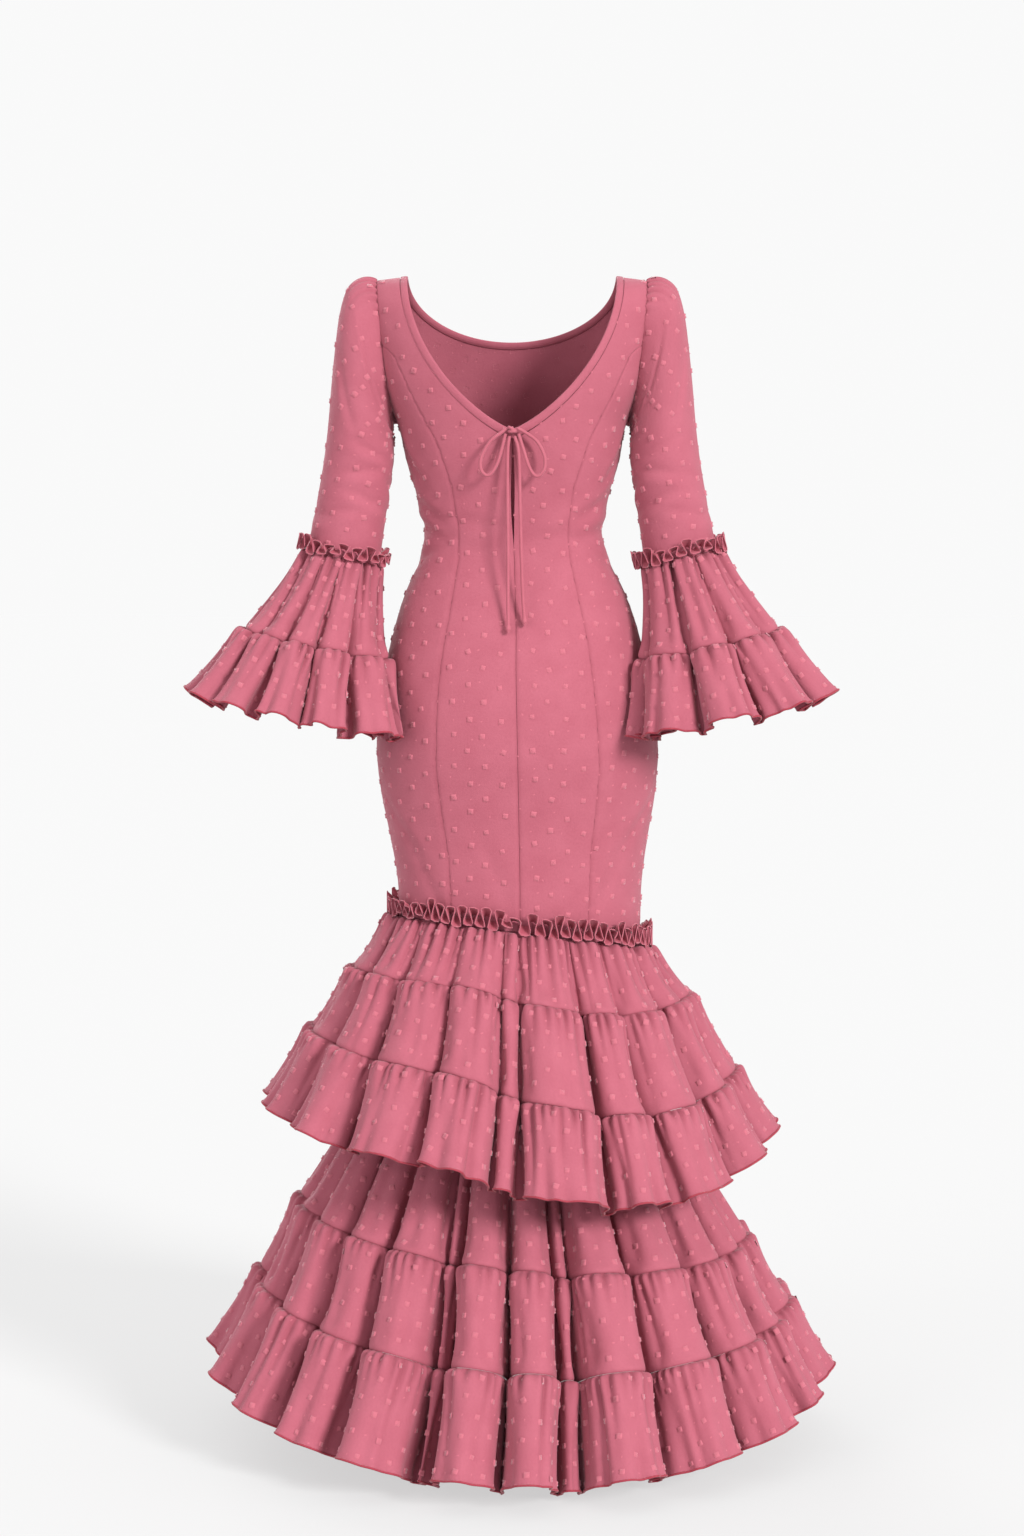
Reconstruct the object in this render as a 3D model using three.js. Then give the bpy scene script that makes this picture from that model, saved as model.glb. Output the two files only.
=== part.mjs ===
// A long flamenco dress of dotted crepe: a close-fitting sheath with a deep V back and narrow ties,
// set-in sleeves that end in two-tier flounces, and two overlapping three-tier skirt flounces.
// It keeps the open, hollow form that it has when worn, with the arms hanging.
//
// Millimetres, +Z up. The front faces -Y and the wearer's left is +X. The origin lies between the
// shoulder seams, where the dress is carried. Angles round the body are in degrees from the centre
// back (+Y) towards the wearer's left (+X).
import * as THREE from "three";

// ---------- driving dimensions ----------

const CLOTH = 2; // wall of a fitted panel
const FLOUNCE_CLOTH = 3; // wall of a flounce, measured straight out from its middle
const SEAM = 0.4; // gap left between two pieces along a seam
const NECK_HALF = 133; // half the width of the neck opening at the shoulders
const BACK_NECK_DEPTH = 198; // shoulder line to the point of the back V
const FRONT_NECK_DEPTH = 82; // shoulder line to the bottom of the front scoop
const BINDING = 9; // width of the band round the neck
const SHOULDER_HALF = 174; // half the width across the shoulder points
const SHOULDER_FALL = 8; // how far a shoulder seam falls from the neck to the shoulder point
const UNDERARM = -190;
const SLIT_END = -343; // bottom of the opening below the back V
const SLIT_HALF = 2.2; // half the width of that opening
const DROP_LINE = -840; // where the sheath ends and the upper flounce starts, at the sides
const DROP_TILT = 20; // the drop line rises to the wearer's left and falls to the right
const DROP_BACK = 10; // and it sits higher at the back
const RUCHE_HEIGHT = 22;
const RUCHE_REACH = 12; // how far a gathered trim stands off the cloth
const CORD = 4.4; // diameter of the ties
const KNOT = { x: 0, y: 106.5, z: -199, half: 6, depth: 5.2, tall: 7 };

const COLOURS = { cloth: 0xd4748a, trim: 0xc8637a, tie: 0xd06f86 };
const material = (colour, roughness) =>
  new THREE.MeshStandardMaterial({ color: colour, roughness, metalness: 0 });
const CLOTH_FINISH = material(COLOURS.cloth, 0.82);
const TRIM_FINISH = material(COLOURS.trim, 0.85);
const TIE_FINISH = material(COLOURS.tie, 0.7);

// ---------- small helpers ----------

const radians = THREE.MathUtils.degToRad;
const degrees = THREE.MathUtils.radToDeg;
const mix = THREE.MathUtils.lerp;
const ease = (t) => THREE.MathUtils.smoothstep(t, 0, 1);
const steps = (count) => Array.from({ length: count + 1 }, (_, i) => i / count);

// A table with named columns, read at a fractional row: rows are joined by a smooth curve.
function table(names, rows) {
  const at = (place) => {
    const row = Math.min(Math.max(place, 0), rows.length - 1);
    const i = Math.min(Math.floor(row), rows.length - 2);
    const t = row - i;
    const value = {};
    names.forEach((name, k) => {
      const [b, c] = [rows[i][k], rows[i + 1][k]];
      const a = i > 0 ? rows[i - 1][k] : 2 * b - c;
      const d = i + 2 < rows.length ? rows[i + 2][k] : 2 * c - b;
      value[name] =
        b + 0.5 * t * (c - a + t * (2 * a - 5 * b + 4 * c - d + t * (3 * (b - c) + d - a)));
    });
    return value;
  };
  return { at, last: rows.length - 1 };
}

// A straight-line reading of pairs [place, value] that run downwards.
function along(pairs, place) {
  const next = pairs.findIndex(([p]) => p <= place);
  if (next === 0) return pairs[0][1];
  if (next < 0) return pairs[pairs.length - 1][1];
  const [[p0, v0], [p1, v1]] = [pairs[next - 1], pairs[next]];
  return mix(v0, v1, (place - p0) / (p1 - p0));
}

// A solid from triangles, turned to face out whatever way round its grid was made.
function solid(points, faces) {
  let volume = 0;
  for (const [a, b, c] of faces) {
    const normal = new THREE.Vector3().crossVectors(points[b], points[c]);
    volume += points[a].dot(normal);
  }
  const index = volume < 0 ? faces.flatMap(([a, b, c]) => [a, c, b]) : faces.flat();
  const geometry = new THREE.BufferGeometry();
  geometry.setFromPoints(points);
  geometry.setIndex(index);
  const faceted = geometry.toNonIndexed();
  faceted.computeVertexNormals();
  return faceted;
}

// A wall between two grids of points, outer and inner, with rims round its edges.
// A closed wall runs right round, so its first and last columns are neighbours.
function wall(outer, inner, closed) {
  const rows = outer.length;
  const columns = outer[0].length;
  const points = [...outer.flat(), ...inner.flat()];
  const faces = [];
  const quad = (a, b, c, d) => faces.push([a, b, c], [a, c, d]);
  const o = (i, j) => i * columns + (j % columns);
  const n = (i, j) => rows * columns + o(i, j);
  const spans = closed ? columns : columns - 1;
  for (let i = 0; i < rows - 1; i++)
    for (let j = 0; j < spans; j++) {
      quad(o(i, j), o(i + 1, j), o(i + 1, j + 1), o(i, j + 1));
      quad(n(i, j), n(i, j + 1), n(i + 1, j + 1), n(i + 1, j));
    }
  for (let j = 0; j < spans; j++) {
    quad(o(0, j), o(0, j + 1), n(0, j + 1), n(0, j));
    quad(o(rows - 1, j), n(rows - 1, j), n(rows - 1, j + 1), o(rows - 1, j + 1));
  }
  if (!closed)
    for (let i = 0; i < rows - 1; i++) {
      quad(o(i, 0), n(i, 0), n(i + 1, 0), o(i + 1, 0));
      quad(o(i, spans), o(i + 1, spans), n(i + 1, spans), n(i, spans));
    }
  return solid(points, faces);
}

const dress = new THREE.Group();
function add(name, geometry, finish) {
  const mesh = new THREE.Mesh(geometry, finish);
  mesh.name = name;
  dress.add(mesh);
}

// ---------- the form of the sheath ----------

// Sections from the shoulder line to the hidden hem of the underskirt: half the width, how far the
// back and the front lie from the side seams, how far the section is swayed sideways, and how
// square it is (2 is an ellipse).
const SHEATH = table(
  ["z", "half", "back", "front", "sway", "square"],
  [
    [0, 190, 0, 0, 0, 2.3],
    [-7, 189, 32, -30, 0, 2.3],
    [-21, 187, 58, -54, 0, 2.3],
    [-46, 184, 80, -74, 0, 2.3],
    [-88, 176, 96, -90, 0, 2.3],
    [-130, 168, 101, -102, 0, 2.3],
    [-160, 158, 101, -111, 0, 2.3],
    [UNDERARM, 146, 99, -119, 0, 2.3],
    [-230, 137.5, 95, -125, -1, 2.3],
    [-265, 127.5, 89, -119, -1, 2.3],
    [-300, 118.5, 83, -106, -1, 2.3],
    [-335, 115.5, 79, -96, -2, 2.3],
    [-365, 122.5, 81, -95, -3, 2.3],
    [-405, 141, 90, -99, -4, 2.3],
    [-450, 156, 104, -105, -5, 2.3],
    [-505, 169, 118, -109, -5, 2.3],
    [-560, 178, 126, -111, -6, 2.3],
    [-610, 181, 126, -111, -7, 2.3],
    [-660, 176.5, 119, -110, -8, 2.3],
    [-715, 166.5, 111, -108, -9, 2.3],
    [-770, 158, 107, -106, -10, 2.3],
    [-820, 156, 106, -105, -10, 2.3],
    [-870, 157, 107, -106, -10, 2.3],
    [-1040, 167, 119, -118, -10, 2.3],
  ],
);
const BUST = { x: 74, z: -238, across: 44, down: 42, reach: 13 };

// The table row at a height.
function rowAt(z) {
  let [low, high] = [0, SHEATH.last];
  for (let i = 0; i < 40; i++) {
    const middle = (low + high) / 2;
    if (SHEATH.at(middle).z > z) low = middle;
    else high = middle;
  }
  return (low + high) / 2;
}

const curved = (value, square) => Math.sign(value) * Math.abs(value) ** (2 / square);

// A point of the sheath: turn is the angle round the body, row the fractional row of SHEATH.
function sheathPoint(turn, row) {
  const { z, half, back, front, sway, square } = SHEATH.at(row);
  const x = half * curved(Math.sin(radians(turn)), square);
  const toBack = Math.cos(radians(turn));
  const y = (toBack > 0 ? back : -front) * curved(toBack, square);
  const cup =
    toBack < 0
      ? BUST.reach *
        Math.exp(-(((Math.abs(x) - BUST.x) / BUST.across) ** 2) - ((z - BUST.z) / BUST.down) ** 2)
      : 0;
  const fall = SHOULDER_FALL * (Math.abs(x) / SHOULDER_HALF) ** 4 * Math.max(0, 1 - row / 4);
  return new THREE.Vector3(x + sway, y - cup, z - fall);
}

function sheathNormal(turn, row) {
  const acrossStep = 0.5;
  const downStep = 0.02;
  const start = Math.max(row, downStep);
  const across = sheathPoint(turn + acrossStep, row).sub(sheathPoint(turn - acrossStep, row));
  const down = sheathPoint(turn, start + downStep).sub(sheathPoint(turn, start - downStep));
  return across.cross(down).normalize();
}

// The turn at which the sheath is x from its own middle, on the back or on the front.
function turnAt(x, row, side) {
  const { half, square } = SHEATH.at(row);
  const share = Math.min(Math.abs(x) / half, 1);
  const angle = Math.sign(x || 1) * degrees(Math.asin(share ** (square / 2)));
  return side === "back" ? angle : 180 - angle;
}

// A panel of the sheath from a grid of [turn, row] places, raised off the form if asked.
function panel(places, { thick = CLOTH, raised = 0, closed = false } = {}) {
  const moved = (out) =>
    places.map((line) =>
      line.map(([turn, row]) =>
        sheathPoint(turn, row).addScaledVector(sheathNormal(turn, row), out),
      ),
    );
  return wall(moved(raised + thick / 2), moved(raised - thick / 2), closed);
}

// The height of the drop line at a turn: flat over the back and flat over the front, both tilted.
const DROP_SQUARE = SHEATH.at(rowAt(DROP_LINE)).square;
function dropRow(turn, above = 0) {
  const across = curved(Math.sin(radians(turn)), DROP_SQUARE);
  const toBack = curved(Math.cos(radians(turn)), DROP_SQUARE);
  return rowAt(DROP_LINE + DROP_TILT * across + DROP_BACK * Math.max(toBack, 0) + above);
}

// ---------- seam lines on the sheath, as distances from its middle at a height ----------

const BACK_ARMHOLE = [
  [0, 174], [-46, 170], [-88, 166], [-130, 160.5], [-158, 156], [-176, 151], [UNDERARM, 146],
];
const FRONT_ARMHOLE = [[0, 174], [-46, 164], [-88, 156], [-130, 151], [-160, 149.5], [UNDERARM, 146]];
const PRINCESS = [
  [-90, 165.6], [-96, 158], [-103, 150], [-156, 126], [-213, 96], [-270, 77], [-320, 69.5], [-360, 70.5],
  [-410, 80], [-473, 92], [-520, 98], [-568, 101.5], [-624, 103], [-672, 98], [-735, 90],
  [-804, 87], [-860, 88],
];
const PRINCESS_TOP = -90;
const neckCurve = (share) => (1 - share ** 2) ** 0.8; // half width of the back V at a share of its depth
const backNeckEdge = (z, widen) =>
  z > -(BACK_NECK_DEPTH + 1.3 * widen)
    ? (NECK_HALF + widen) * neckCurve(-z / (BACK_NECK_DEPTH + 1.3 * widen))
    : 0;
const slitEdge = (z) => {
  const top = -(BACK_NECK_DEPTH + BINDING);
  const share = (z - top) / (SLIT_END - top);
  return share > 0 && share < 1 ? SEAM / 2 + SLIT_HALF * Math.sin(Math.PI * share) : SEAM / 2;
};

// Rows of the table that the panels' facets follow; the last facet ends on the drop line.
const DROP_ROW = rowAt(DROP_LINE);
const onDropLine = (line) => line.map(([turn]) => [turn, dropRow(turn)]);
const TOP_ROW = 0.03;
const BODY_ROWS = [5, 6, 7, 8.5, 10, 11, 12, 13, 14.5, 16.5, 18.5, 20];
const NECK_POINT = rowAt(-(BACK_NECK_DEPTH + 1.3 * (BINDING + SEAM)));
const NECK_ROWS = [TOP_ROW, 1, 2, 3, 4, 5, 6, 7, NECK_POINT];
const armholeTurn = (row, pairs, side) => turnAt(along(pairs, SHEATH.at(row).z), row, side);
const turnStep = (distance, row) => degrees(distance / SHEATH.at(row).half);

function backPanel(side) {
  const rows = [
    ...NECK_ROWS.slice(0, 5),
    rowAt(PRINCESS_TOP),
    rowAt(PRINCESS_TOP - 6),
    rowAt(PRINCESS_TOP - 22),
    ...NECK_ROWS.slice(5),
    ...BODY_ROWS.slice(3),
    DROP_ROW,
  ];
  const places = rows.map((row) =>
    steps(4).map((share) => {
      const z = SHEATH.at(row).z;
      const inner = Math.max(backNeckEdge(z, BINDING + SEAM), slitEdge(z));
      const turnIn = turnAt(inner, row, "back");
      const turnOut =
        z > PRINCESS_TOP - 1
          ? armholeTurn(row, BACK_ARMHOLE, "back")
          : turnAt(along(PRINCESS, z), row, "back") - turnStep(SEAM / 2, row);
      return [side * mix(turnIn, turnOut, share), row];
    }),
  );
  return panel([...places.slice(0, -1), onDropLine(places.at(-1))]);
}

function sideBackPanel(side) {
  const rows = [
    rowAt(PRINCESS_TOP - 6),
    rowAt(PRINCESS_TOP - 22),
    ...BODY_ROWS.slice(0, 3),
    NECK_POINT,
    ...BODY_ROWS.slice(3),
    DROP_ROW,
  ];
  const places = rows.map((row) =>
    steps(3).map((share) => {
      const z = SHEATH.at(row).z;
      const turnIn = turnAt(along(PRINCESS, z), row, "back") + turnStep(SEAM / 2, row);
      const turnOut =
        z > UNDERARM ? armholeTurn(row, BACK_ARMHOLE, "back") : 90 - turnStep(SEAM / 2, row);
      return [side * mix(turnIn, turnOut, share), row];
    }),
  );
  return panel([...places.slice(0, -1), onDropLine(places.at(-1))]);
}

// The front is one piece from side seam to side seam. Its columns are shares of the way from the
// middle to its edge, and each starts at the neckline, at its own angle round the scoop.
const NECK_WIDTH = NECK_HALF + BINDING + 2.5 * SEAM;
const NECK_DEPTH = FRONT_NECK_DEPTH + BINDING + 2.5 * SEAM;
const NECK_COLUMNS = [0.12, 0.36, 0.58, 0.74];
function scoopAngle(share) {
  let [low, high] = [0, 90];
  for (let i = 0; i < 40; i++) {
    const middle = (low + high) / 2;
    const edge = along(FRONT_ARMHOLE, -NECK_DEPTH * Math.sin(radians(middle)));
    if (share * edge < NECK_WIDTH * Math.cos(radians(middle))) low = middle;
    else high = middle;
  }
  return (low + high) / 2;
}

function frontPanel() {
  const topRow = (share) =>
    Math.abs(share) * SHOULDER_HALF < NECK_WIDTH
      ? rowAt(-NECK_DEPTH * Math.sin(radians(scoopAngle(Math.abs(share)))))
      : TOP_ROW;
  const right = [...NECK_COLUMNS, NECK_WIDTH / SHOULDER_HALF, 1];
  const columns = [...right.map((share) => -share).reverse(), ...right];
  const underarmRow = 7;
  const shares = [0, 0.2, 0.45, 0.72, 1];
  const rows = [...shares, 8, 9, ...BODY_ROWS.slice(4), DROP_ROW];
  const places = rows.map((row, i) =>
    columns.map((share) => {
      const lowest = i < shares.length ? mix(topRow(share), underarmRow, row) : row;
      const edge =
        SHEATH.at(lowest).z > UNDERARM
          ? armholeTurn(lowest, FRONT_ARMHOLE, "front")
          : 90 + turnStep(SEAM / 2, lowest);
      const half = SHEATH.at(lowest).half;
      const x = share * half * curved(Math.sin(radians(edge)), SHEATH.at(lowest).square);
      return [Math.abs(share) === 1 ? Math.sign(share) * edge : turnAt(x, lowest, "front"), lowest];
    }),
  );
  return panel([...places.slice(0, -1), onDropLine(places.at(-1))]);
}

// One band of cloth binds the whole neck, from one side of the V over both shoulders to the other.
function neckBinding() {
  const bottom = SHEATH.at(NECK_POINT).z;
  const half = [
    ...NECK_ROWS.map((row) => ["back", SHEATH.at(row).z / bottom]).reverse(),
    ...NECK_COLUMNS.map((share) => ["front", scoopAngle(share)]).reverse(),
    ["front", 90],
  ];
  const place = ([side, at], widen, hand) => {
    const back = side === "back";
    const angle = radians(at);
    const z = back
      ? -(BACK_NECK_DEPTH + 1.3 * widen) * at
      : -(FRONT_NECK_DEPTH + widen) * Math.sin(angle);
    const x = back ? (NECK_HALF + widen) * neckCurve(at) : (NECK_HALF + widen) * Math.cos(angle);
    const turn = turnAt(Math.max(x, back ? SEAM : 0.001), rowAt(z), side);
    return [hand * turn, rowAt(z)];
  };
  const sections = [
    ...half.map((stop) => [stop, 1]),
    ...half.slice(0, -1).reverse().map((stop) => [stop, -1]),
  ];
  const places = sections.map(([stop, hand]) => [place(stop, 0, hand), place(stop, BINDING, hand)]);
  return panel(places);
}

// ---------- sleeves ----------

// Rings down the left arm: the outermost and innermost points seen from the back, half the depth
// from front to back, and how far back the ring's middle lies.
const ARM = table(
  ["outerX", "outerZ", "innerX", "innerZ", "depth", "y"],
  [
    [178, -8, 151, -186, 44, 0],
    [196, 0, 151, -188, 46, 2],
    [210, -18, 151.5, -191, 49, 4],
    [219, -48, 151.5, -195, 51, 7],
    [225, -92, 151.5, -200, 52, 10],
    [230, -142, 151, -206, 52, 13],
    [234, -190, 150.5, -216, 50, 16],
    [239, -232, 151, -244, 48, 18],
    [245, -268, 157, -284, 46, 20],
    [252, -306, 163, -322, 44.5, 22],
    [261, -350, 169, -369, 43.5, 24],
  ],
);
const ARM_RINGS = [0, 0.5, 1, 2, 3.5, 5, 6.5, 8, 9, ARM.last];
const ARM_SIDES = 14;

// A point of the armhole seam of the left arm: angle 0 is the shoulder, 90 the back, 180 the underarm.
function armholePoint(angle) {
  const top = -1;
  const z = mix(top, UNDERARM, (1 - Math.cos(radians(angle))) / 2);
  const row = rowAt(z);
  const back = angle <= 180;
  const turn = armholeTurn(row, back ? BACK_ARMHOLE : FRONT_ARMHOLE, back ? "back" : "front");
  return sheathPoint(turn, row);
}

function armPoint(angle, ring, out = 0) {
  const { outerX, outerZ, innerX, innerZ, depth, y } = ARM.at(ring);
  const across = new THREE.Vector3(outerX - innerX, 0, outerZ - innerZ).multiplyScalar(0.5);
  const middle = new THREE.Vector3((outerX + innerX) / 2, y, (outerZ + innerZ) / 2);
  const radius = across.length();
  across.multiplyScalar(((radius + out) / radius) * Math.cos(radians(angle)));
  return middle.add(across).add(new THREE.Vector3(0, (depth + out) * Math.sin(radians(angle)), 0));
}

function sleevePoint(angle, ring) {
  const clear = new THREE.Vector3(CLOTH + 3 * SEAM, 0, 0);
  const start = armholePoint(((angle % 360) + 360) % 360).add(clear);
  return start.lerp(armPoint(angle, ring), ease(Math.min(ring / 2, 1)));
}

const mirrored = (point, side) => (side < 0 ? point.setX(-point.x) : point);

function sleeve(side) {
  const angles = steps(ARM_SIDES).slice(0, -1).map((share) => 360 * share);
  const normal = (angle, ring) => {
    const low = Math.min(ring, ARM.last - 0.05);
    const round = sleevePoint(angle + 2, ring).sub(sleevePoint(angle - 2, ring));
    const down = sleevePoint(angle, low + 0.05).sub(sleevePoint(angle, low));
    return round.cross(down).normalize();
  };
  const grid = (out) =>
    ARM_RINGS.map((ring) =>
      angles.map((angle) =>
        mirrored(sleevePoint(angle, ring).addScaledVector(normal(angle, ring), out), side),
      ),
    );
  return wall(grid(CLOTH / 2), grid(-CLOTH / 2), true);
}

// ---------- gathered trims: a plain ring of each one's reach ----------

function ringOfFour(inside, outside) {
  return wall(outside, inside, true);
}

function skirtRuche() {
  const turns = steps(40).slice(0, -1).map((share) => 360 * share);
  const line = (above, out) =>
    turns.map((turn) => {
      const row = dropRow(turn, above);
      return sheathPoint(turn, row).addScaledVector(sheathNormal(turn, row), out);
    });
  const near = CLOTH / 2 + 4 * SEAM;
  const heights = [RUCHE_HEIGHT + 1, 1];
  return ringOfFour(
    heights.map((above) => line(above, near)),
    heights.map((above) => line(above, near + RUCHE_REACH)),
  );
}

function sleeveRuche(side) {
  const { outerX, outerZ, innerX, innerZ } = ARM.at(ARM.last);
  const along = new THREE.Vector3(innerZ - outerZ, 0, outerX - innerX).normalize();
  const angles = steps(20).slice(0, -1).map((share) => 360 * share);
  const line = (above, out) =>
    angles.map((angle) =>
      mirrored(armPoint(angle, ARM.last, out).addScaledVector(along, above), side),
    );
  const near = CLOTH / 2 + 2 * SEAM + 1.5;
  const heights = [RUCHE_HEIGHT - 2, 0.8];
  return ringOfFour(
    heights.map((above) => line(above, near)),
    heights.map((above) => line(above, near + RUCHE_REACH)),
  );
}

// ---------- flounces ----------

// A row for each fold: the angle at which it starts, how far out its crest comes (1 is the full
// reach) and how deep the valley at its start is (0 is the full depth).
const folds = (rows) => rows.map(([start, reach, valley]) => ({ start, reach, valley }));
const UPPER_FOLDS = folds([
  [1, 0.5, 0], [7, 1, 0.1], [25, 0.97, 0.2], [46.5, 1, 0.1], [65, 1, 0.2], [87, 1, 0.1],
  [108, 0.95, 0.2], [127, 1, 0], [148, 0.9, 0.2], [166, 1, 0.1], [185, 0.95, 0.1],
  [204, 1, 0.2], [222, 0.95, 0], [243, 1, 0.2], [262, 1, 0.1], [285, 1, 0.2],
  [301.5, 0.97, 0.1], [322.5, 0.92, 0.2], [338, 1.05, 0],
]);
const LOWER_FOLDS = folds([
  [4, 1, 0.1], [18, 0.45, 0], [22, 1, 0], [38, 0.97, 0.2], [53.5, 1, 0.1], [68, 1, 0.2],
  [84, 1, 0.1], [100, 0.95, 0.1], [117, 1, 0], [134, 0.92, 0.2], [150, 1, 0.1], [166, 0.95, 0],
  [183, 1, 0.1], [199, 0.95, 0.2], [216, 1, 0], [232, 0.93, 0.1], [248, 1, 0.2],
  [265, 1, 0.1], [283, 0.97, 0.2], [296, 1, 0.1], [313, 1, 0.2], [331, 1.03, 0.1],
  [347.5, 0.45, 0], [352, 1, 0],
]);
const LEFT_CUFF_FOLDS = folds([
  [9, 1, 0.1], [37, 1, 0.2], [64, 1.02, 0.1], [91.5, 1, 0.1], [121, 1, 0], [160, 0.95, 0.2],
  [196, 1, 0.1], [230, 0.95, 0.1], [263, 1, 0.2], [297, 0.95, 0], [332, 1, 0.1],
]);
const RIGHT_CUFF_FOLDS = folds([
  [4, 1, 0.1], [36, 1, 0.2], [71, 1.02, 0], [108, 1, 0], [153, 0.95, 0.2], [190, 1, 0.1],
  [226, 0.95, 0.1], [260, 1, 0.2], [295, 0.95, 0], [330, 1, 0.1],
]);

// Angles for the facets of each fold, and how far out the cloth is there, from 0 to 1.
function foldFacets(rows) {
  const places = [-1, -0.62, 0, 0.62];
  return rows.flatMap(({ start, reach, valley }, i) => {
    const next = rows[(i + 1) % rows.length];
    const end = next.start > start ? next.start : next.start + 360;
    const used = end - start < 8 ? [-1, 0] : places;
    return used.map((place) => ({
      angle: mix(start, end, (place + 1) / 2),
      height: mix(place < 0 ? valley : next.valley, reach, (1 - place ** 2) ** 0.85),
    }));
  });
}

// The levels of the skirt flounces. half and depth are to the crests of the folds; fold is how
// deep the valleys are; the height is at the sides, tilted sideways, and lower at the back and front.
// A valley also hangs lower than a crest, by DIP of its depth, as its cloth goes less far out.
const DIP = 0.45;
const level = (half, depth, fold, z, tilt, back, x) => ({ half, depth, fold, z, tilt, back, x });
const UPPER_LEVELS = [
  level(166.5, 117.5, 3, DROP_LINE, 21.2, -10.9, -10),
  level(220, 182, 24, -904.5, 13.5, -2, -11),
  level(277, 250, 44, -991.5, 20.5, 19, -14),
  level(337, 322, 64, -1072.5, 10.5, 38, -10),
];
const LOWER_LEVELS = [
  level(170, 123, 3, -1021, 15.3, 0, -10),
  level(292, 262, 52, -1210, 25, 15, -15),
  level(346, 325, 72, -1299, 18, 38, -16),
  level(410, 395, 88, -1390.5, 8.5, 64, -10),
];
const FRONT_SHARE = 0.25; // the front hem comes down by this share of what the back does

// The upper flounce hangs unevenly: the angle, and how much lower than an even hem it is there.
// Its other levels share this by the root of how far down they are.
const HANG = [
  [180, 0], [95, -8], [70, -18], [38, -20], [21, -24], [4, -4], [-12, 18], [-36, 28], [-52, 24],
  [-70, 10], [-90, 4], [-180, 0],
];
function hangAt(angle, z, rows) {
  if (rows !== UPPER_FOLDS) return 0;
  const share = (DROP_LINE - z) / (DROP_LINE - UPPER_LEVELS.at(-1).z);
  return Math.sqrt(share) * along(HANG, ((angle + 180) % 360) - 180);
}

function skirtTier(upper, lower, rows) {
  const line = ({ half, depth, fold, z, tilt, back, x }, below, out) =>
    foldFacets(rows).map(({ angle, height }) => {
      const [across, toBack] = [Math.sin(radians(angle)), Math.cos(radians(angle))];
      const inward = fold * (1 - height) - out;
      const down = toBack > 0 ? back * toBack : FRONT_SHARE * Math.max(back, 0) * -toBack;
      return new THREE.Vector3(
        x + (half - inward) * across,
        (depth - inward) * toBack,
        z + tilt * across - down - below - hangAt(angle, z, rows) - DIP * fold * (1 - height),
      );
    });
  const grid = (out) => [line(upper, SEAM, out), line(lower, 0, out)];
  return wall(grid(FLOUNCE_CLOTH / 2), grid(-FLOUNCE_CLOTH / 2), true);
}

// The levels of a sleeve flounce, as rings like ARM's, with the depth of the folds.
const cuffLevel = (outerX, outerZ, innerX, innerZ, depth, y, fold) =>
  ({ outerX, outerZ, innerX, innerZ, depth, y, fold });
const cuffLevels = (hemInner) => [
  cuffLevel(262, -350, 168, -370, 45, 24, 2),
  cuffLevel(342, -446, 152, -485, 80, 48, 20),
  cuffLevel(416, -522, hemInner, -581, 116, 70, 42),
];
const CUFFS = [
  { hand: "left", side: 1, levels: cuffLevels(118), folds: LEFT_CUFF_FOLDS },
  { hand: "right", side: -1, levels: cuffLevels(128), folds: RIGHT_CUFF_FOLDS },
];
const HIP_CLEARANCE = 10; // a sleeve flounce lies against the hip, this far off its middle

// Moves a point straight out of the sheath's form, widened by the clearance, if it is inside it.
function clearOfHip(point, side) {
  const { half, back, front, sway, square } = SHEATH.at(rowAt(point.z));
  const wide = half + HIP_CLEARANCE;
  const deep = (point.y > 0 ? back : -front) + HIP_CLEARANCE;
  for (let i = 0; i < 12; i++) {
    const [x, y] = [point.x - side * sway, point.y];
    const inside = (Math.abs(x) / wide) ** square + (Math.abs(y) / deep) ** square;
    if (inside >= 1) break;
    const slopeX = (square * Math.abs(x / wide) ** (square - 1)) / wide;
    const slopeY = (Math.sign(y) * square * Math.abs(y / deep) ** (square - 1)) / deep;
    const move = (1 - inside) / (slopeX ** 2 + slopeY ** 2);
    point.x += move * slopeX;
    point.y += move * slopeY;
  }
  return point;
}

function cuffTier(upper, lower, rows, side) {
  const line = ({ outerX, outerZ, innerX, innerZ, depth, y, fold }, below, out) =>
    foldFacets(rows).map(({ angle, height }) => {
      const across = new THREE.Vector3(outerX - innerX, 0, outerZ - innerZ).multiplyScalar(0.5);
      const point = new THREE.Vector3((outerX + innerX) / 2, y, (outerZ + innerZ) / 2 - below);
      const inward = fold * (1 - height);
      const round = new THREE.Vector3(
        across.x * (1 - inward / across.length()) * Math.cos(radians(angle)),
        (depth - inward) * Math.sin(radians(angle)),
        across.z * (1 - inward / across.length()) * Math.cos(radians(angle)),
      );
      const outwards = round.clone().normalize();
      return mirrored(clearOfHip(point.add(round), side).addScaledVector(outwards, out), side);
    });
  const grid = (out) => [line(upper, SEAM + 0.4, out), line(lower, 0, out)];
  return wall(grid(FLOUNCE_CLOTH / 2), grid(-FLOUNCE_CLOTH / 2), true);
}

// ---------- underskirt ----------

// The plain tube that carries the lower flounce, hidden below the upper one.
const UNDERSKIRT_END = -1020;
const UNDERSKIRT_TILT = 15;

function underskirt() {
  const turns = steps(24).slice(0, -1).map((share) => 360 * share);
  const top = turns.map((turn) => [turn, dropRow(turn, -SEAM)]);
  const bottom = turns.map((turn) => {
    const across = curved(Math.sin(radians(turn)), DROP_SQUARE);
    return [turn, rowAt(UNDERSKIRT_END + UNDERSKIRT_TILT * across)];
  });
  return panel([top, bottom], { closed: true });
}

// ---------- ties ----------

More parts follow.
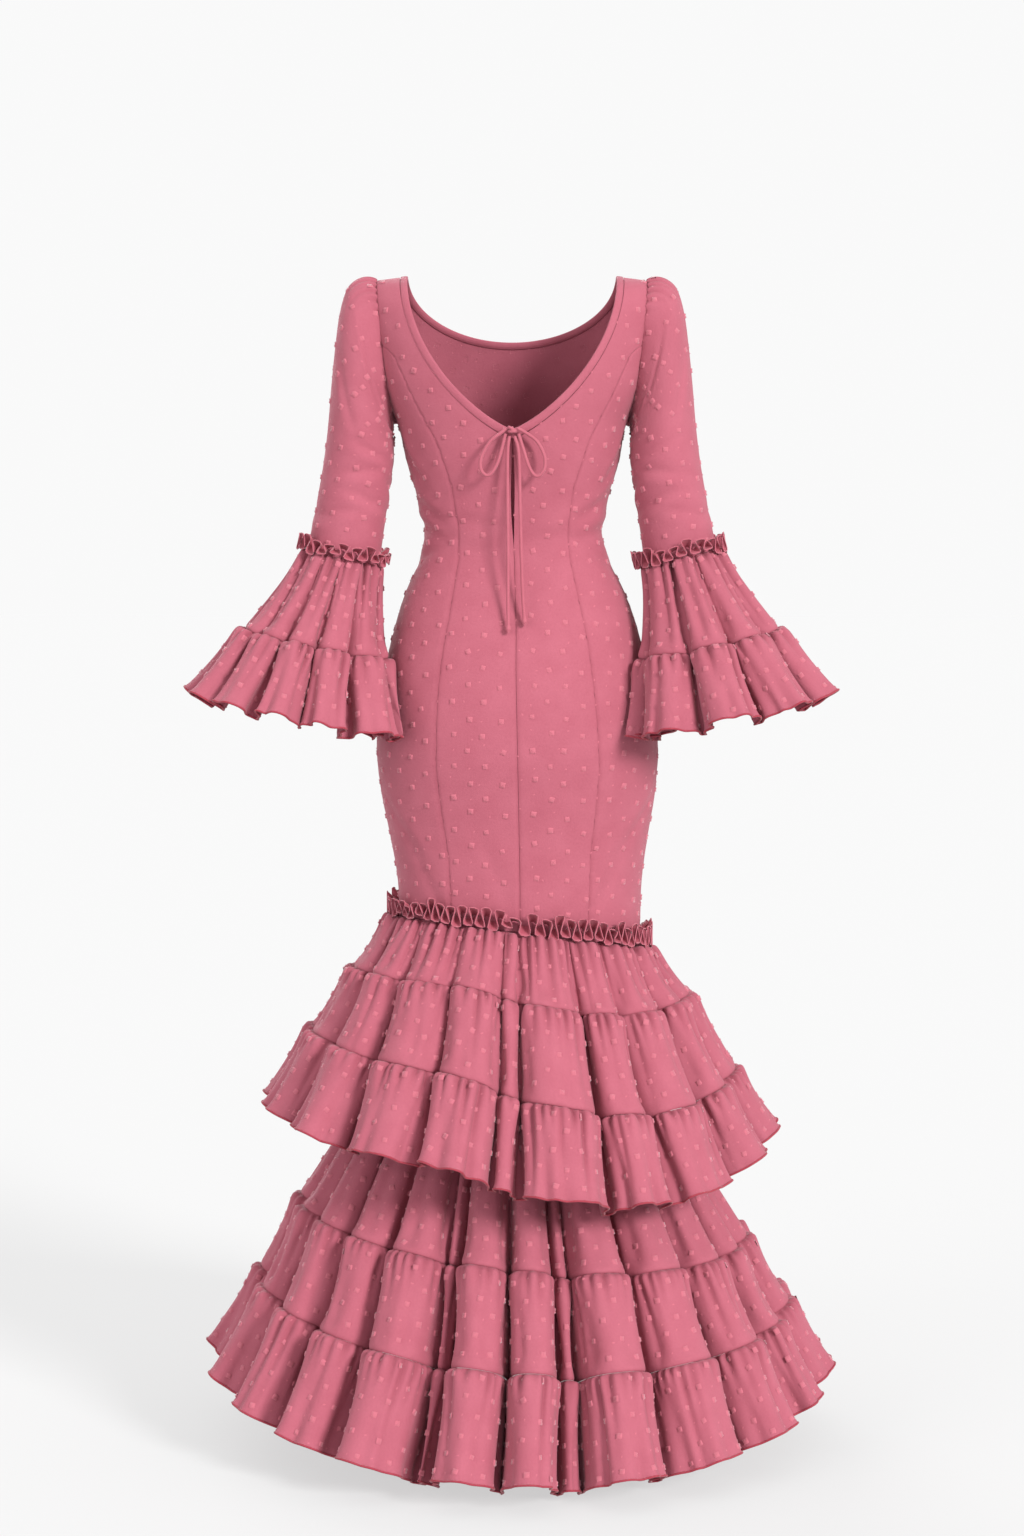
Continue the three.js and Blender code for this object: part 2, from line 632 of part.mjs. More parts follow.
// Each tie leaves the knot as a loop and as a free tail. Both hang straight down and lie on the
// cloth only where it comes out to meet them. Points are from the knot, x outwards and z up.
const LEFT_LOOP = [[13, -3], [27, -14], [38, -33], [39, -48], [33, -56], [26, -54], [19, -43], [14, -28]];
const RIGHT_LOOP = [[18, -4], [31, -14], [40, -31], [41, -46], [35, -56], [28, -56], [21, -45], [16, -30]];
const LEFT_TAIL = [[5.5, -30], [5.5, -90], [5, -150], [5, -210], [4.5, -252]];
const RIGHT_TAIL = [[8.5, -30], [10, -90], [11.5, -150], [13.5, -205], [16, -243]];
const TAIL_START = { x: 3.4, z: -KNOT.tall - SEAM - 0.2 };

function cordY(x, z) {
  const row = rowAt(z);
  const onCloth = sheathPoint(turnAt(x, row, "back"), row).y + CLOTH / 2 + CORD / 2 + SEAM;
  return Math.max(KNOT.y, onCloth);
}

function cordSection() {
  const corners = steps(8).slice(0, -1).map((share) => {
    const angle = 2 * Math.PI * share;
    return new THREE.Vector2((CORD / 2) * Math.cos(angle), (CORD / 2) * Math.sin(angle));
  });
  return new THREE.Shape(corners);
}

function cord(points, count) {
  const path = new THREE.CatmullRomCurve3(points);
  return new THREE.ExtrudeGeometry(cordSection(), {
    steps: count,
    bevelEnabled: false,
    extrudePath: path,
  });
}

function loop(points, side) {
  const edge = KNOT.half + 4 * SEAM;
  const route = [[edge, 1.8], ...points, [edge + 0.6, -4.6]];
  return cord(
    route.map(([x, z], i) => {
      const lift = 3.2 * Math.sin((Math.PI * i) / (route.length - 1));
      return new THREE.Vector3(side * x, KNOT.y + lift, KNOT.z + z);
    }),
    17,
  );
}

function tail(points, side) {
  const route = [[TAIL_START.x, TAIL_START.z], ...points];
  return cord(
    route.map(([x, z]) => new THREE.Vector3(side * x, cordY(x, KNOT.z + z), KNOT.z + z)),
    20,
  );
}

function knot() {
  const ball = new THREE.SphereGeometry(1, 10, 7);
  ball.scale(KNOT.half, KNOT.depth, KNOT.tall);
  ball.translate(KNOT.x, KNOT.y, KNOT.z);
  return ball;
}

// ---------- the dress ----------

add("front", frontPanel(), CLOTH_FINISH);
for (const [hand, side] of [["left", 1], ["right", -1]]) {
  add(`back_${hand}`, backPanel(side), CLOTH_FINISH);
  add(`side_back_${hand}`, sideBackPanel(side), CLOTH_FINISH);
  add(`sleeve_${hand}`, sleeve(side), CLOTH_FINISH);
  add(`sleeve_${hand}_ruche`, sleeveRuche(side), TRIM_FINISH);
}
for (const { hand, side, levels, folds: rows } of CUFFS) {
  add(`sleeve_${hand}_flounce_top`, cuffTier(levels[0], levels[1], rows, side), CLOTH_FINISH);
  add(`sleeve_${hand}_flounce_hem`, cuffTier(levels[1], levels[2], rows, side), CLOTH_FINISH);
}
add("neck_binding", neckBinding(), TRIM_FINISH);
add("skirt_ruche", skirtRuche(), TRIM_FINISH);
add("underskirt", underskirt(), CLOTH_FINISH);
for (const [flounce, levels, rows] of [
  ["upper", UPPER_LEVELS, UPPER_FOLDS],
  ["lower", LOWER_LEVELS, LOWER_FOLDS],
])
  ["top", "middle", "hem"].forEach((tier, i) =>
    add(`${flounce}_flounce_${tier}`, skirtTier(levels[i], levels[i + 1], rows), CLOTH_FINISH),
  );
add("tie_knot", knot(), TIE_FINISH);
add("tie_left_loop", loop(LEFT_LOOP, 1), TIE_FINISH);
add("tie_right_loop", loop(RIGHT_LOOP, -1), TIE_FINISH);
add("tie_left_tail", tail(LEFT_TAIL, 1), TIE_FINISH);
add("tie_right_tail", tail(RIGHT_TAIL, -1), TIE_FINISH);

export default dress;
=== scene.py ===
import math

import bpy
import numpy as np
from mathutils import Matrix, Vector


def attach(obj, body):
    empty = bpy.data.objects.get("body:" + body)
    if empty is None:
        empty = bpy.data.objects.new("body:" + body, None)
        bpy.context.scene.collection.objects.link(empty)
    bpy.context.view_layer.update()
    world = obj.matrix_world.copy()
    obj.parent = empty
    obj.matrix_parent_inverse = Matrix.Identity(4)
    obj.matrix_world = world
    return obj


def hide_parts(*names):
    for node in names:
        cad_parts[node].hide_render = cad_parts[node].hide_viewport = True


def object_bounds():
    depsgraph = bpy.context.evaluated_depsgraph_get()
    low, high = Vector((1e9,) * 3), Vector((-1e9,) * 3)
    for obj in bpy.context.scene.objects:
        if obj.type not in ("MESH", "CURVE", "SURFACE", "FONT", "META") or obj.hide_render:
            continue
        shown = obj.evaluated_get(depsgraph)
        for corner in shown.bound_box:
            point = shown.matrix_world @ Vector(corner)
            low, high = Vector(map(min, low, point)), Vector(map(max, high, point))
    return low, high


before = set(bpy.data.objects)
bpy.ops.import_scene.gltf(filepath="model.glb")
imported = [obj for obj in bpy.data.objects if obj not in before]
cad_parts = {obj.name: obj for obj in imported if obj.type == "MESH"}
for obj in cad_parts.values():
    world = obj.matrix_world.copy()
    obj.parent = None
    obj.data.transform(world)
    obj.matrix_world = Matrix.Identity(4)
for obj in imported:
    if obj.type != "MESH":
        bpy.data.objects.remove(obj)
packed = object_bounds()
scene = bpy.context.scene

# ---- camera
# The dress is seen from behind, from the height of the waist, a little downwards.
EYE = (0.0, 4.2, -0.285)
camera = bpy.data.objects.new("camera", bpy.data.cameras.new("camera"))
camera.data.lens = 76.6
camera.location = EYE
camera.rotation_euler = (math.radians(90 - 4.7), 0, math.radians(180))
scene.collection.objects.link(camera)
scene.camera = camera
scene.view_settings.view_transform = "Standard"
scene.view_settings.look = "None"


# ---- ties
# Narrow bias-cut crepe turned into a round cord. It holds the top of the slit together in a bow:
# two loops and two free tails leave one knot. Each end of a tail is knotted on itself.

class Value:
    """A socket of a material's nodes, or a number, that takes part in arithmetic."""

    def __init__(self, tree, socket):
        self.tree = tree
        self.socket = socket

    def make(self, kind, settings=None, sockets=None, out=0):
        node = self.tree.nodes.new(kind)
        for name, value in (settings or {}).items():
            setattr(node, name, value)
        for key, value in (sockets or {}).items():
            if isinstance(value, Value):
                self.tree.links.new(value.socket, node.inputs[key])
            else:
                node.inputs[key].default_value = value
        return Value(self.tree, node.outputs[out])

    def math(self, operation, a, b):
        return self.make("ShaderNodeMath", {"operation": operation}, {0: a, 1: b})

    def __add__(self, other):
        return self.math("ADD", self, other)

    def __sub__(self, other):
        return self.math("SUBTRACT", self, other)

    def __mul__(self, other):
        return self.math("MULTIPLY", self, other)

    def __rsub__(self, other):
        return self.math("SUBTRACT", other, self)

    __radd__ = __add__
    __rmul__ = __mul__

    def clamped(self):
        return self.make("ShaderNodeClamp", None, {"Value": self})


def linear(red, green, blue):
    """A colour given as 0 to 255 on screen, as light."""
    shown = np.array([red, green, blue]) / 255
    light = np.where(shown <= 0.04045, shown / 12.92, ((shown + 0.055) / 1.055) ** 2.4)
    return (*light.tolist(), 1.0)


def material(name, roughness, sheen=0.0):
    """A new material, its surface node, and a value to build its nodes from."""
    made = bpy.data.materials.new(name)
    made.use_nodes = True
    surface = made.node_tree.nodes["Principled BSDF"]
    surface.inputs["Roughness"].default_value = roughness
    surface.inputs["Sheen Weight"].default_value = sheen
    surface.inputs["Sheen Roughness"].default_value = 0.4
    surface.inputs["Specular IOR Level"].default_value = 0.25
    return made, surface, Value(made.node_tree, None)


def noise(start, place, scale, detail=2.0, roughness=0.5):
    return start.make("ShaderNodeTexNoise", None, {
        "Vector": place, "Scale": scale, "Detail": detail, "Roughness": roughness})


def mixed(start, amount, first, second):
    """Between two colours by an amount, held from 0 to 1."""
    return start.make("ShaderNodeMix", {"data_type": "RGBA"},
                      {0: amount.clamped(), 6: first, 7: second}, out=2)


def finish(made, surface, colour, height, depth):
    """Gives a material its colour and its grain, raised by a depth in metres."""
    grain = colour.make("ShaderNodeBump", None,
                        {"Height": height, "Distance": depth, "Strength": 1.0})
    made.node_tree.links.new(colour.socket, surface.inputs["Base Color"])
    made.node_tree.links.new(grain.socket, surface.inputs["Normal"])
    return made


def tie_material():
    made, surface, start = material("tie_crepe", 0.62, 0.25)
    place = start.make("ShaderNodeTexCoord", out=3)
    slub = noise(start, place, 900.0, 3.0)
    tone = noise(start, place, 60.0)
    colour = mixed(start, tone * 0.6 + slub * 0.4, linear(150, 72, 86), linear(172, 92, 106))
    return finish(made, surface, colour, slub, 0.0004)


TIE_CLOTH = tie_material()
HANDS = (("left", 1), ("right", -1))
CORD = 4.4
KNOT_AT = np.array([0.0, 106.5, -199.0])
LOOP_START = (7.6, 1.8)
LOOP_END = (8.2, -4.6)
LOOP_BULGE = 3.2
TAIL_START = (3.4, -7.6)
# the knot at a tail's end: how much thicker it is, how far in, and how long
KNOT_SWELL, KNOT_IN, KNOT_LONG = 0.7, 4.5, 2.6
# Points from the knot, x outwards and z up, in millimetres.
LOOPS = {
    "left": [(13, -3), (27, -14), (38, -33), (39, -48), (33, -56), (26, -54), (19, -43),
             (14, -28)],
    "right": [(18, -4), (31, -14), (40, -31), (41, -46), (35, -56), (28, -56), (21, -45),
              (16, -30)],
}
TAILS = {
    "left": [(5.5, -30), (5.5, -90), (5, -150), (5, -210), (4.5, -252)],
    "right": [(8.5, -30), (10, -90), (11.5, -150), (13.5, -205), (16, -243)],
}
# How far back the cloth comes below the knot, as height and depth: the tails lie on it.
BACK_OF_CLOTH = [(-199, 100.4), (-230, 98.4), (-265, 92.4), (-300, 86.4), (-335, 82.4),
                 (-365, 84.4), (-405, 93.4), (-450, 107.4), (-505, 121.4)]


def between_rows(rows, place):
    """A smooth reading of a table at fractional rows."""
    place = np.clip(np.asarray(place, float), 0, len(rows) - 1)
    i = np.minimum(place.astype(int), len(rows) - 2)
    t = (place - i)[..., None]
    longer = np.vstack([2 * rows[0] - rows[1], rows, 2 * rows[-1] - rows[-2]])
    a, b, c, d = (longer[i + k] for k in range(4))
    return b + 0.5 * t * (c - a + t * (2 * a - 5 * b + 4 * c - d + t * (3 * (b - c) + d - a)))


def along(pairs, z):
    """Reads a table of heights, from the top down, and values at a height."""
    places, values = zip(*reversed(pairs))
    return np.interp(z, places, values)


def run_along(points):
    """Distance along a line of points, from 0 at the first."""
    return np.concatenate([[0], np.cumsum(np.linalg.norm(np.diff(points, axis=0), axis=1))])


def cord_piece(name, route, knotted):
    curve = bpy.data.curves.new(name, "CURVE")
    curve.dimensions = "3D"
    curve.bevel_depth = CORD / 2 / 1000
    curve.bevel_resolution = 3
    curve.use_fill_caps = True
    spline = curve.splines.new("POLY")
    spline.points.add(len(route) - 1)
    for point, at in zip(spline.points, route / 1000):
        point.co = (*at, 1)
        if knotted:
            from_end = np.linalg.norm(at * 1000 - route[-1])
            point.radius = 1 + KNOT_SWELL * math.exp(-((from_end - KNOT_IN) / KNOT_LONG) ** 2)
    spline.use_smooth = True
    piece = bpy.data.objects.new(name, curve)
    piece.data.materials.append(TIE_CLOTH)
    scene.collection.objects.link(piece)
    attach(piece, "root")
    return piece


for hand, side in HANDS:
    y0, z0 = KNOT_AT[1:]
    flat = [LOOP_START, *LOOPS[hand], LOOP_END]
    # a loop bulges away from the back in its middle, and a tail lies on the cloth
    loop = [(side * x, y0 + LOOP_BULGE * math.sin(math.pi * i / (len(flat) - 1)), z0 + z)
            for i, (x, z) in enumerate(flat)]
    tail = [(side * x, max(y0, along(BACK_OF_CLOTH, z0 + z) + CORD / 2 + 0.6), z0 + z)
            for x, z in [TAIL_START, *TAILS[hand]]]
    for name, node, points, between, far_end in (
        (f"bow_loop_{hand}", f"tie_{hand}_loop", loop, 4, "object"),
        (f"tie_tail_{hand}", f"tie_{hand}_tail", tail, 24, "knot"),
    ):
        spans = len(points) - 1
        route = between_rows(np.array(points), np.linspace(0, spans, spans * between + 1))
        piece = cord_piece(name, route, knotted=far_end == "knot")
        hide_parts(node)
        tuple(route[0] / 1000)


# ---- knot of the bow
# The same cord wound over itself: three soft turns pulled tight, on the point of the V.

def mesh_piece(name, points, faces, cloth):
    mesh = bpy.data.meshes.new(name)
    mesh.from_pydata([tuple(p) for p in points / 1000], [], faces)
    mesh.materials.append(cloth)
    mesh.polygons.foreach_set("use_smooth", [True] * len(mesh.polygons))
    piece = bpy.data.objects.new(name, mesh)
    scene.collection.objects.link(piece)
    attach(piece, "root")
    return piece


def unit(vectors):
    return vectors / (np.linalg.norm(vectors, axis=-1, keepdims=True) + 1e-12)


def ring_tube(path, radius, sides):
    """Points and faces of a round tube along a closed path."""
    ahead = unit(np.roll(path, -1, 0) - np.roll(path, 1, 0))
    up = np.where(np.abs(ahead[:, 2:]) > 0.9, [0.0, 1.0, 0.0], [0.0, 0.0, 1.0])
    across = unit(np.cross(ahead, up))
    turns = (np.arange(sides) / sides * 2 * math.pi)[:, None]
    points = path[:, None] + radius * (
        np.cos(turns) * across[:, None] + np.sin(turns) * np.cross(across, ahead)[:, None])
    faces = []
    for i in range(len(path)):
        here, there = i * sides, (i + 1) % len(path) * sides
        for j in range(sides):
            m = (j + 1) % sides
            faces.append((here + j, here + m, there + m, there + j))
    return points.reshape(-1, 3), faces


def knot_piece():
    points, faces = [], []
    # centre x, centre z, half width, half height, lean in degrees, radius
    for cx, cz, wide, tall, lean, thick in (
        (0.2, 1.6, 4.0, 3.0, 18, 2.0),
        (-0.4, -1.8, 3.8, 3.2, -14, 2.0),
        (0.0, 0.0, 2.6, 4.6, 70, 1.9),
    ):
        turn = np.linspace(0, 2 * math.pi, 28, endpoint=False)
        x, z = wide * np.cos(turn), 0.25 * tall * np.cos(turn)
        lean = math.radians(lean)
        ring = KNOT_AT + np.stack([
            cx + x * math.cos(lean) - z * math.sin(lean),
            2.6 * np.sin(turn),
            cz + x * math.sin(lean) + z * math.cos(lean),
        ], 1)
        some, more = ring_tube(ring, thick, 8)
        faces += [tuple(len(points) * len(some) + k for k in face) for face in more]
        points.append(some)
    return mesh_piece("bow_knot", np.vstack(points), faces, TIE_CLOTH)


knot = knot_piece()
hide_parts("tie_knot")


# ---- sheath: form and cloth
# Dotted stretch crepe cut in five panels: one front, two centre backs, two side backs. They are
# joined by pressed-open seams, so each edge turns in, and the cloth puckers slightly along them.

# height, half width, back and front from the side seams, sideways sway, in millimetres
SHEATH = np.array([
    (0, 190, 0, 0, 0), (-7, 189, 32, -30, 0), (-21, 187, 58, -54, 0), (-46, 184, 80, -74, 0),
    (-88, 176, 96, -90, 0), (-130, 168, 101, -102, 0), (-160, 158, 101, -111, 0),
    (-190, 146, 99, -119, 0), (-230, 137.5, 95, -125, -1), (-265, 127.5, 89, -119, -1),
    (-300, 118.5, 83, -106, -1), (-335, 115.5, 79, -96, -2), (-365, 122.5, 81, -95, -3),
    (-405, 141, 90, -99, -4), (-450, 156, 104, -105, -5), (-505, 169, 118, -109, -5),
    (-560, 178, 126, -111, -6), (-610, 181, 126, -111, -7), (-660, 176.5, 119, -110, -8),
    (-715, 166.5, 111, -108, -9), (-770, 158, 107, -106, -10), (-820, 156, 106, -105, -10),
    (-870, 157, 107, -106, -10), (-1040, 167, 119, -118, -10),
], float)
SQUARE = 2.3
BUST = {"x": 74, "z": -238, "across": 44, "down": 42, "reach": 13}
SHOULDER_HALF, SHOULDER_FALL = 174, 8
NECK_HALF, BACK_NECK, FRONT_NECK, BINDING = 133, 198, 82, 9
UNDERARM, SLIT_END, SLIT_HALF, GAP = -190, -343, 2.2, 0.4
DROP_LINE, DROP_TILT, DROP_BACK = -840, 20, 10
BACK_ARMHOLE = [(0, 174), (-46, 170), (-88, 166), (-130, 160.5), (-158, 156), (-176, 151),
                (-190, 146)]
FRONT_ARMHOLE = [(0, 174), (-46, 164), (-88, 156), (-130, 151), (-160, 149.5), (-190, 146)]
PRINCESS = [(-90, 165.6), (-96, 158), (-103, 150), (-156, 126), (-213, 96), (-270, 77),
            (-320, 69.5), (-360, 70.5), (-410, 80), (-473, 92), (-520, 98), (-568, 101.5),
            (-624, 103), (-672, 98), (-735, 90), (-804, 87), (-860, 88)]
FINE_ROWS = np.linspace(0, len(SHEATH) - 1, 6000)
FINE_HEIGHTS = between_rows(SHEATH, FINE_ROWS)[:, 0]


def row_at(z):
    return np.interp(-np.asarray(z, float), -FINE_HEIGHTS, FINE_ROWS)


def curved(value):
    """Makes a round section a little squarer."""
    return np.sign(value) * np.abs(value) ** (2 / SQUARE)


def sheath_point(turn, row):
    turn, row = np.broadcast_arrays(np.radians(turn), row)
    z, half, back, front, sway = np.moveaxis(between_rows(SHEATH, row), -1, 0)
    x = half * curved(np.sin(turn))
    to_back = np.cos(turn)
    y = np.where(to_back > 0, back, -front) * curved(to_back)
    cup = np.where(
        to_back < 0,
        BUST["reach"] * np.exp(-((np.abs(x) - BUST["x"]) / BUST["across"]) ** 2
                               - ((z - BUST["z"]) / BUST["down"]) ** 2),
        0,
    )
    fall = SHOULDER_FALL * (np.abs(x) / SHOULDER_HALF) ** 4 * np.clip(1 - row / 4, 0, None)
    return np.stack([x + sway, y - cup, z - fall], -1)


def sheath_out(turn, row):
    """The direction straight out of the sheath."""
    start = np.maximum(row, 0.02)
    across = sheath_point(np.asarray(turn) + 0.5, row) - sheath_point(np.asarray(turn) - 0.5, row)
    down = sheath_point(turn, start + 0.02) - sheath_point(turn, start - 0.02)
    return unit(np.cross(across, down))


def turn_at(x, row, side="back"):
    half = between_rows(SHEATH, row)[..., 1]
    share = np.minimum(np.abs(x) / half, 1)
    turn = np.where(np.asarray(x) < 0, -1, 1) * np.degrees(np.arcsin(share ** (SQUARE / 2)))
    return turn if side == "back" else 180 - turn


def drop_height(turn):
    turn = np.radians(turn)
    return (DROP_LINE + DROP_TILT * curved(np.sin(turn))
            + DROP_BACK * np.maximum(curved(np.cos(turn)), 0))


def neck_edge(z, widen):
    """Half the width of the back V at a height."""
    depth = BACK_NECK + 1.3 * widen
    share = np.clip(-np.asarray(z, float) / depth, 0, 1)
    return (NECK_HALF + widen) * (1 - share ** 2) ** 0.8


def slit_edge(z):
    top = -(BACK_NECK + BINDING)
    share = np.clip((np.asarray(z, float) - top) / (SLIT_END - top), 0, 1)
    return GAP / 2 + SLIT_HALF * np.sin(math.pi * share)


def crepe_material():
    """Crepe: a pebbled grain over fine crossed threads, uneven in tone, with painted shade along
    its seams and in its gathers.
    """
    made, surface, start = material("dotted_crepe", 0.78, 0.12)
    flat = start.make("ShaderNodeUVMap", {"uv_map": "flat"})
    pebble = noise(start, flat, 1500.0, 2.0, 0.6)
    slub = noise(start, flat, 330.0, 3.0, 0.55)
    cloud = noise(start, flat, 26.0, 3.0)
    warp, weft = (
        start.make("ShaderNodeTexWave", {"bands_direction": way},
                   {"Vector": flat, "Scale": 620.0, "Distortion": 0.6, "Detail": 1.0}, out=1)
        for way in ("X", "Y")
    )
    tone = (cloud * 0.45 + slub * 0.35 + pebble * 0.2 - 0.5) * 1.5 + 0.5
    colour = mixed(start, tone, linear(149, 71, 86), linear(171, 93, 108))
    # painted shade: a per-point value darkens the colour towards deep rose along seams and in the
    # bottoms of gathers
    painted_light = start.make("ShaderNodeAttribute", {"attribute_name": "painted_light"}, out=2)
    colour = mixed(start, painted_light * 0.5, colour, linear(100, 28, 40))
    made.node_tree.links.new((slub * 0.2 + 0.66).socket, surface.inputs["Roughness"])
    height = pebble * 0.5 + (warp * 0.5 + weft * 0.5) * 0.25 + slub * 0.6
    return finish(made, surface, colour, height, 0.0005)


CREPE = crepe_material()


def yarn_material(name, roughness, sheen, scale, depth, first, second):
    """Raised yarn with a fuzzy surface, uneven between two colours."""
    made, surface, start = material(name, roughness, sheen)
    fibre = noise(start, start.make("ShaderNodeTexCoord", out=3), scale, 3.0)
    return finish(made, surface, mixed(start, fibre, first, second), fibre, depth)


TUFTS = yarn_material("woven_dots", 0.8, 0.5, 1400.0, 0.0006, linear(163, 80, 95),
                      linear(192, 109, 123))
DOT_ACROSS, DOT_DOWN = 41.0, 20.5
# The lines across a dot and its heights at them: a dot is a square of four tufts round a small
# dip, and a small knot is a single tuft. Their edges are sunk into the cloth.
DOT = ([-3.5, -2.4, 0.0, 2.4, 3.5],
       [[-0.3, -0.3, -0.3, -0.3, -0.3], [-0.3, 1.8, 1.1, 1.8, -0.3], [-0.3, 1.1, -0.2, 1.1, -0.3],
        [-0.3, 1.8, 1.1, 1.8, -0.3], [-0.3, -0.3, -0.3, -0.3, -0.3]])
SMALL_KNOT = ([-3.2, 0.0, 3.2], [[-0.6, -0.6, -0.6], [-0.6, 2.4, -0.6], [-0.6, -0.6, -0.6]])
KNOT_SHARE, KNOT_SIZE = 0.85, 0.5
chance = np.random.default_rng(7)


def quads(rows, columns, closed=False):
    """The faces of a grid of points, as rows and columns of the corners."""
    i, j = np.meshgrid(np.arange(rows - 1), np.arange(columns - (not closed)), indexing="ij")
    return [(i, j), (i + 1, j), (i + 1, j + 1), (i, j + 1)]


def cloth_piece(name, points, across, down, closed=False, painted_light=0.0, cloth=CREPE):
    """A sheet from a grid of points with its flat sizes across and down. The painted light value,
    from 0 to 1, sets the painted shade in its colour; on the ruches it sets a painted highlight.
    """
    rows, columns = points.shape[:2]
    corners = quads(rows, columns, closed)
    faces = np.stack([i * columns + j % columns for i, j in corners], -1).reshape(-1, 4)
    piece = mesh_piece(name, points.reshape(-1, 3), faces.tolist(), cloth)
    across = np.broadcast_to(across, (rows, columns + closed))
    down = np.broadcast_to(np.asarray(down)[:, None] if np.ndim(down) == 1 else down, across.shape)
    flat = np.stack([np.stack([across[c], down[c]], -1) for c in corners], -2).reshape(-1, 2)
    layer = piece.data.uv_layers.new(name="flat")
    layer.data.foreach_set("uv", (flat / 1000).astype(np.float32).ravel())
    attribute = piece.data.attributes.new("painted_light", "FLOAT", "POINT")
    painted_light = np.broadcast_to(painted_light, (rows, columns))
    attribute.data.foreach_set("value", painted_light.astype(np.float32).ravel())
    return piece


def dots_on(name, points, across, down, closed=False, margin=5.0, shift=0.0):
    """The raised woven dots of a sheet, in staggered rows in its flat sizes."""
    rows, columns = points.shape[:2]
    across = np.broadcast_to(across, (rows, columns + closed))
    if closed:
        points = np.concatenate([points, points[:, :1]], 1)
    spots = []
    for number, t in enumerate(np.arange(down[0] + margin + shift, down[-1] - margin, DOT_DOWN)):
        i = np.interp(t, down, np.arange(rows))
        low = min(int(i), rows - 2)
        line = across[low] + (i - low) * (across[low + 1] - across[low])
        start, end = line[0], line[-1]
        stagger = 0.5 * (number % 2)
        if closed:
            count = max(round((end - start) / DOT_ACROSS), 1)
            places = start + (np.arange(count) + stagger + 0.25) * (end - start) / count
        else:
            first = math.ceil((start + margin) / DOT_ACROSS - stagger)
            last = math.ceil((end - margin) / DOT_ACROSS - stagger)
            places = (np.arange(first, last) + stagger) * DOT_ACROSS
        # each dot is a little off its place, as woven cloth never hangs quite true
        for s in places + chance.normal(0, 1.8, len(places)):
            spots.append((np.interp(t + chance.normal(0, 1.5), down, np.arange(rows)),
                          np.interp(s, line, np.arange(len(line))), 1.0))
        # and small knots of the same yarn come through between them
        for s in (places + DOT_ACROSS / 2)[chance.random(len(places)) < KNOT_SHARE]:
            spots.append((np.interp(t + chance.normal(0, 4), down, np.arange(rows)),
                          np.interp(s + chance.normal(0, 4), line, np.arange(len(line))),
                          KNOT_SIZE))
    i, j, large = np.array(spots).T
    a = np.clip(i.astype(int), 0, rows - 2)
    b = np.clip(j.astype(int), 0, points.shape[1] - 2)
    u, v = (i - a)[:, None], (j - b)[:, None]
    p00, p01, p10, p11 = points[a, b], points[a, b + 1], points[a + 1, b], points[a + 1, b + 1]
    centre = (1 - u) * ((1 - v) * p00 + v * p01) + u * ((1 - v) * p10 + v * p11)
    side = unit((1 - u) * (p01 - p00) + u * (p11 - p10))
    below = unit((1 - v) * (p10 - p00) + v * (p11 - p01))
    out = unit(np.cross(side, below))
    below = np.cross(out, side)
    size = large * chance.uniform(0.86, 1.1, len(centre))
    twist = chance.normal(0, 0.16, len(centre)) / large ** 2
    turned, crossed = np.cos(twist)[:, None], np.sin(twist)[:, None]
    side, below = side * turned - below * crossed, side * crossed + below * turned
    frames = np.stack([side, below, out], 1) * size[:, None, None]
    grids, faces = [], []
    for chosen, (lines, heights) in ((large == 1, DOT), (large < 1, SMALL_KNOT)):
        wide = len(lines)
        grid = np.stack([*np.meshgrid(lines, lines), np.array(heights)], -1)
        first = sum(len(some) for some in grids)
        grids.append((centre[chosen, None, None]
                      + np.einsum("abk,nkc->nabc", grid, frames[chosen])).reshape(-1, 3))
        one = np.stack([i * wide + j for i, j in quads(wide, wide)], -1).reshape(-1, 4)
        starts = first + np.arange(chosen.sum())[:, None, None] * wide * wide
        faces += (starts + one).reshape(-1, 4).tolist()
    piece = mesh_piece(name, np.vstack(grids), faces, TUFTS)
    return piece


# Soft creases of the worn sheath: turn, height, lean, length and depth of each trough.
CREASES = [
    (62, -300, 25, 60, 1.6), (70, -322, 12, 70, 2.0), (66, -352, -16, 60, 1.5),
    (-58, -296, -22, 60, 1.5), (-68, -326, -10, 75, 2.0), (-64, -356, 18, 60, 1.4),
    (30, -312, 6, 70, 0.9), (-28, -330, -7, 64, 0.9), (24, -352, -8, 50, 0.7),
    (80, -210, 52, 48, 1.6), (-80, -212, -52, 48, 1.5), (74, -236, 40, 40, 1.1),
    (-76, -238, -42, 42, 1.1), (98, -318, 8, 60, 1.6), (112, -345, -10, 66, 1.5),
    (-104, -322, -9, 60, 1.6), (-118, -350, 12, 66, 1.3), (150, -320, 8, 60, 1.1),
    (-152, -328, -6, 64, 1.2), (60, -700, 50, 70, 1.0), (-64, -690, -48, 80, 1.0),
    (44, -770, 62, 60, 0.9), (-40, -778, -60, 60, 0.9), (120, -740, -50, 70, 1.1),
    (-126, -735, 50, 70, 1.1), (8, -760, 74, 70, 0.6),
]


# The ridge beside each trough: its share of the depth, its distance and width; then the trough's.
SHEATH_RIDGE = (0.55, 14, 10, 8)
WIDE_PER_DEGREE = 2.3


def short_way(distance, whole):
    """A distance round a closed line, at most half of the whole line either way."""
    return (distance + whole / 2) % whole - whole / 2


def trough(x, y, lean, length, ridge):
    """A soft trough through a point, one deep, with a lower ridge along one side."""
    lean = math.radians(lean)
    run, off = x * math.cos(lean) + y * math.sin(lean), y * math.cos(lean) - x * math.sin(lean)
    share, away, wide, narrow = ridge
    return np.exp(-(run / length) ** 2) * (
        share * np.exp(-((off - away) / wide) ** 2) - np.exp(-(off / narrow) ** 2))


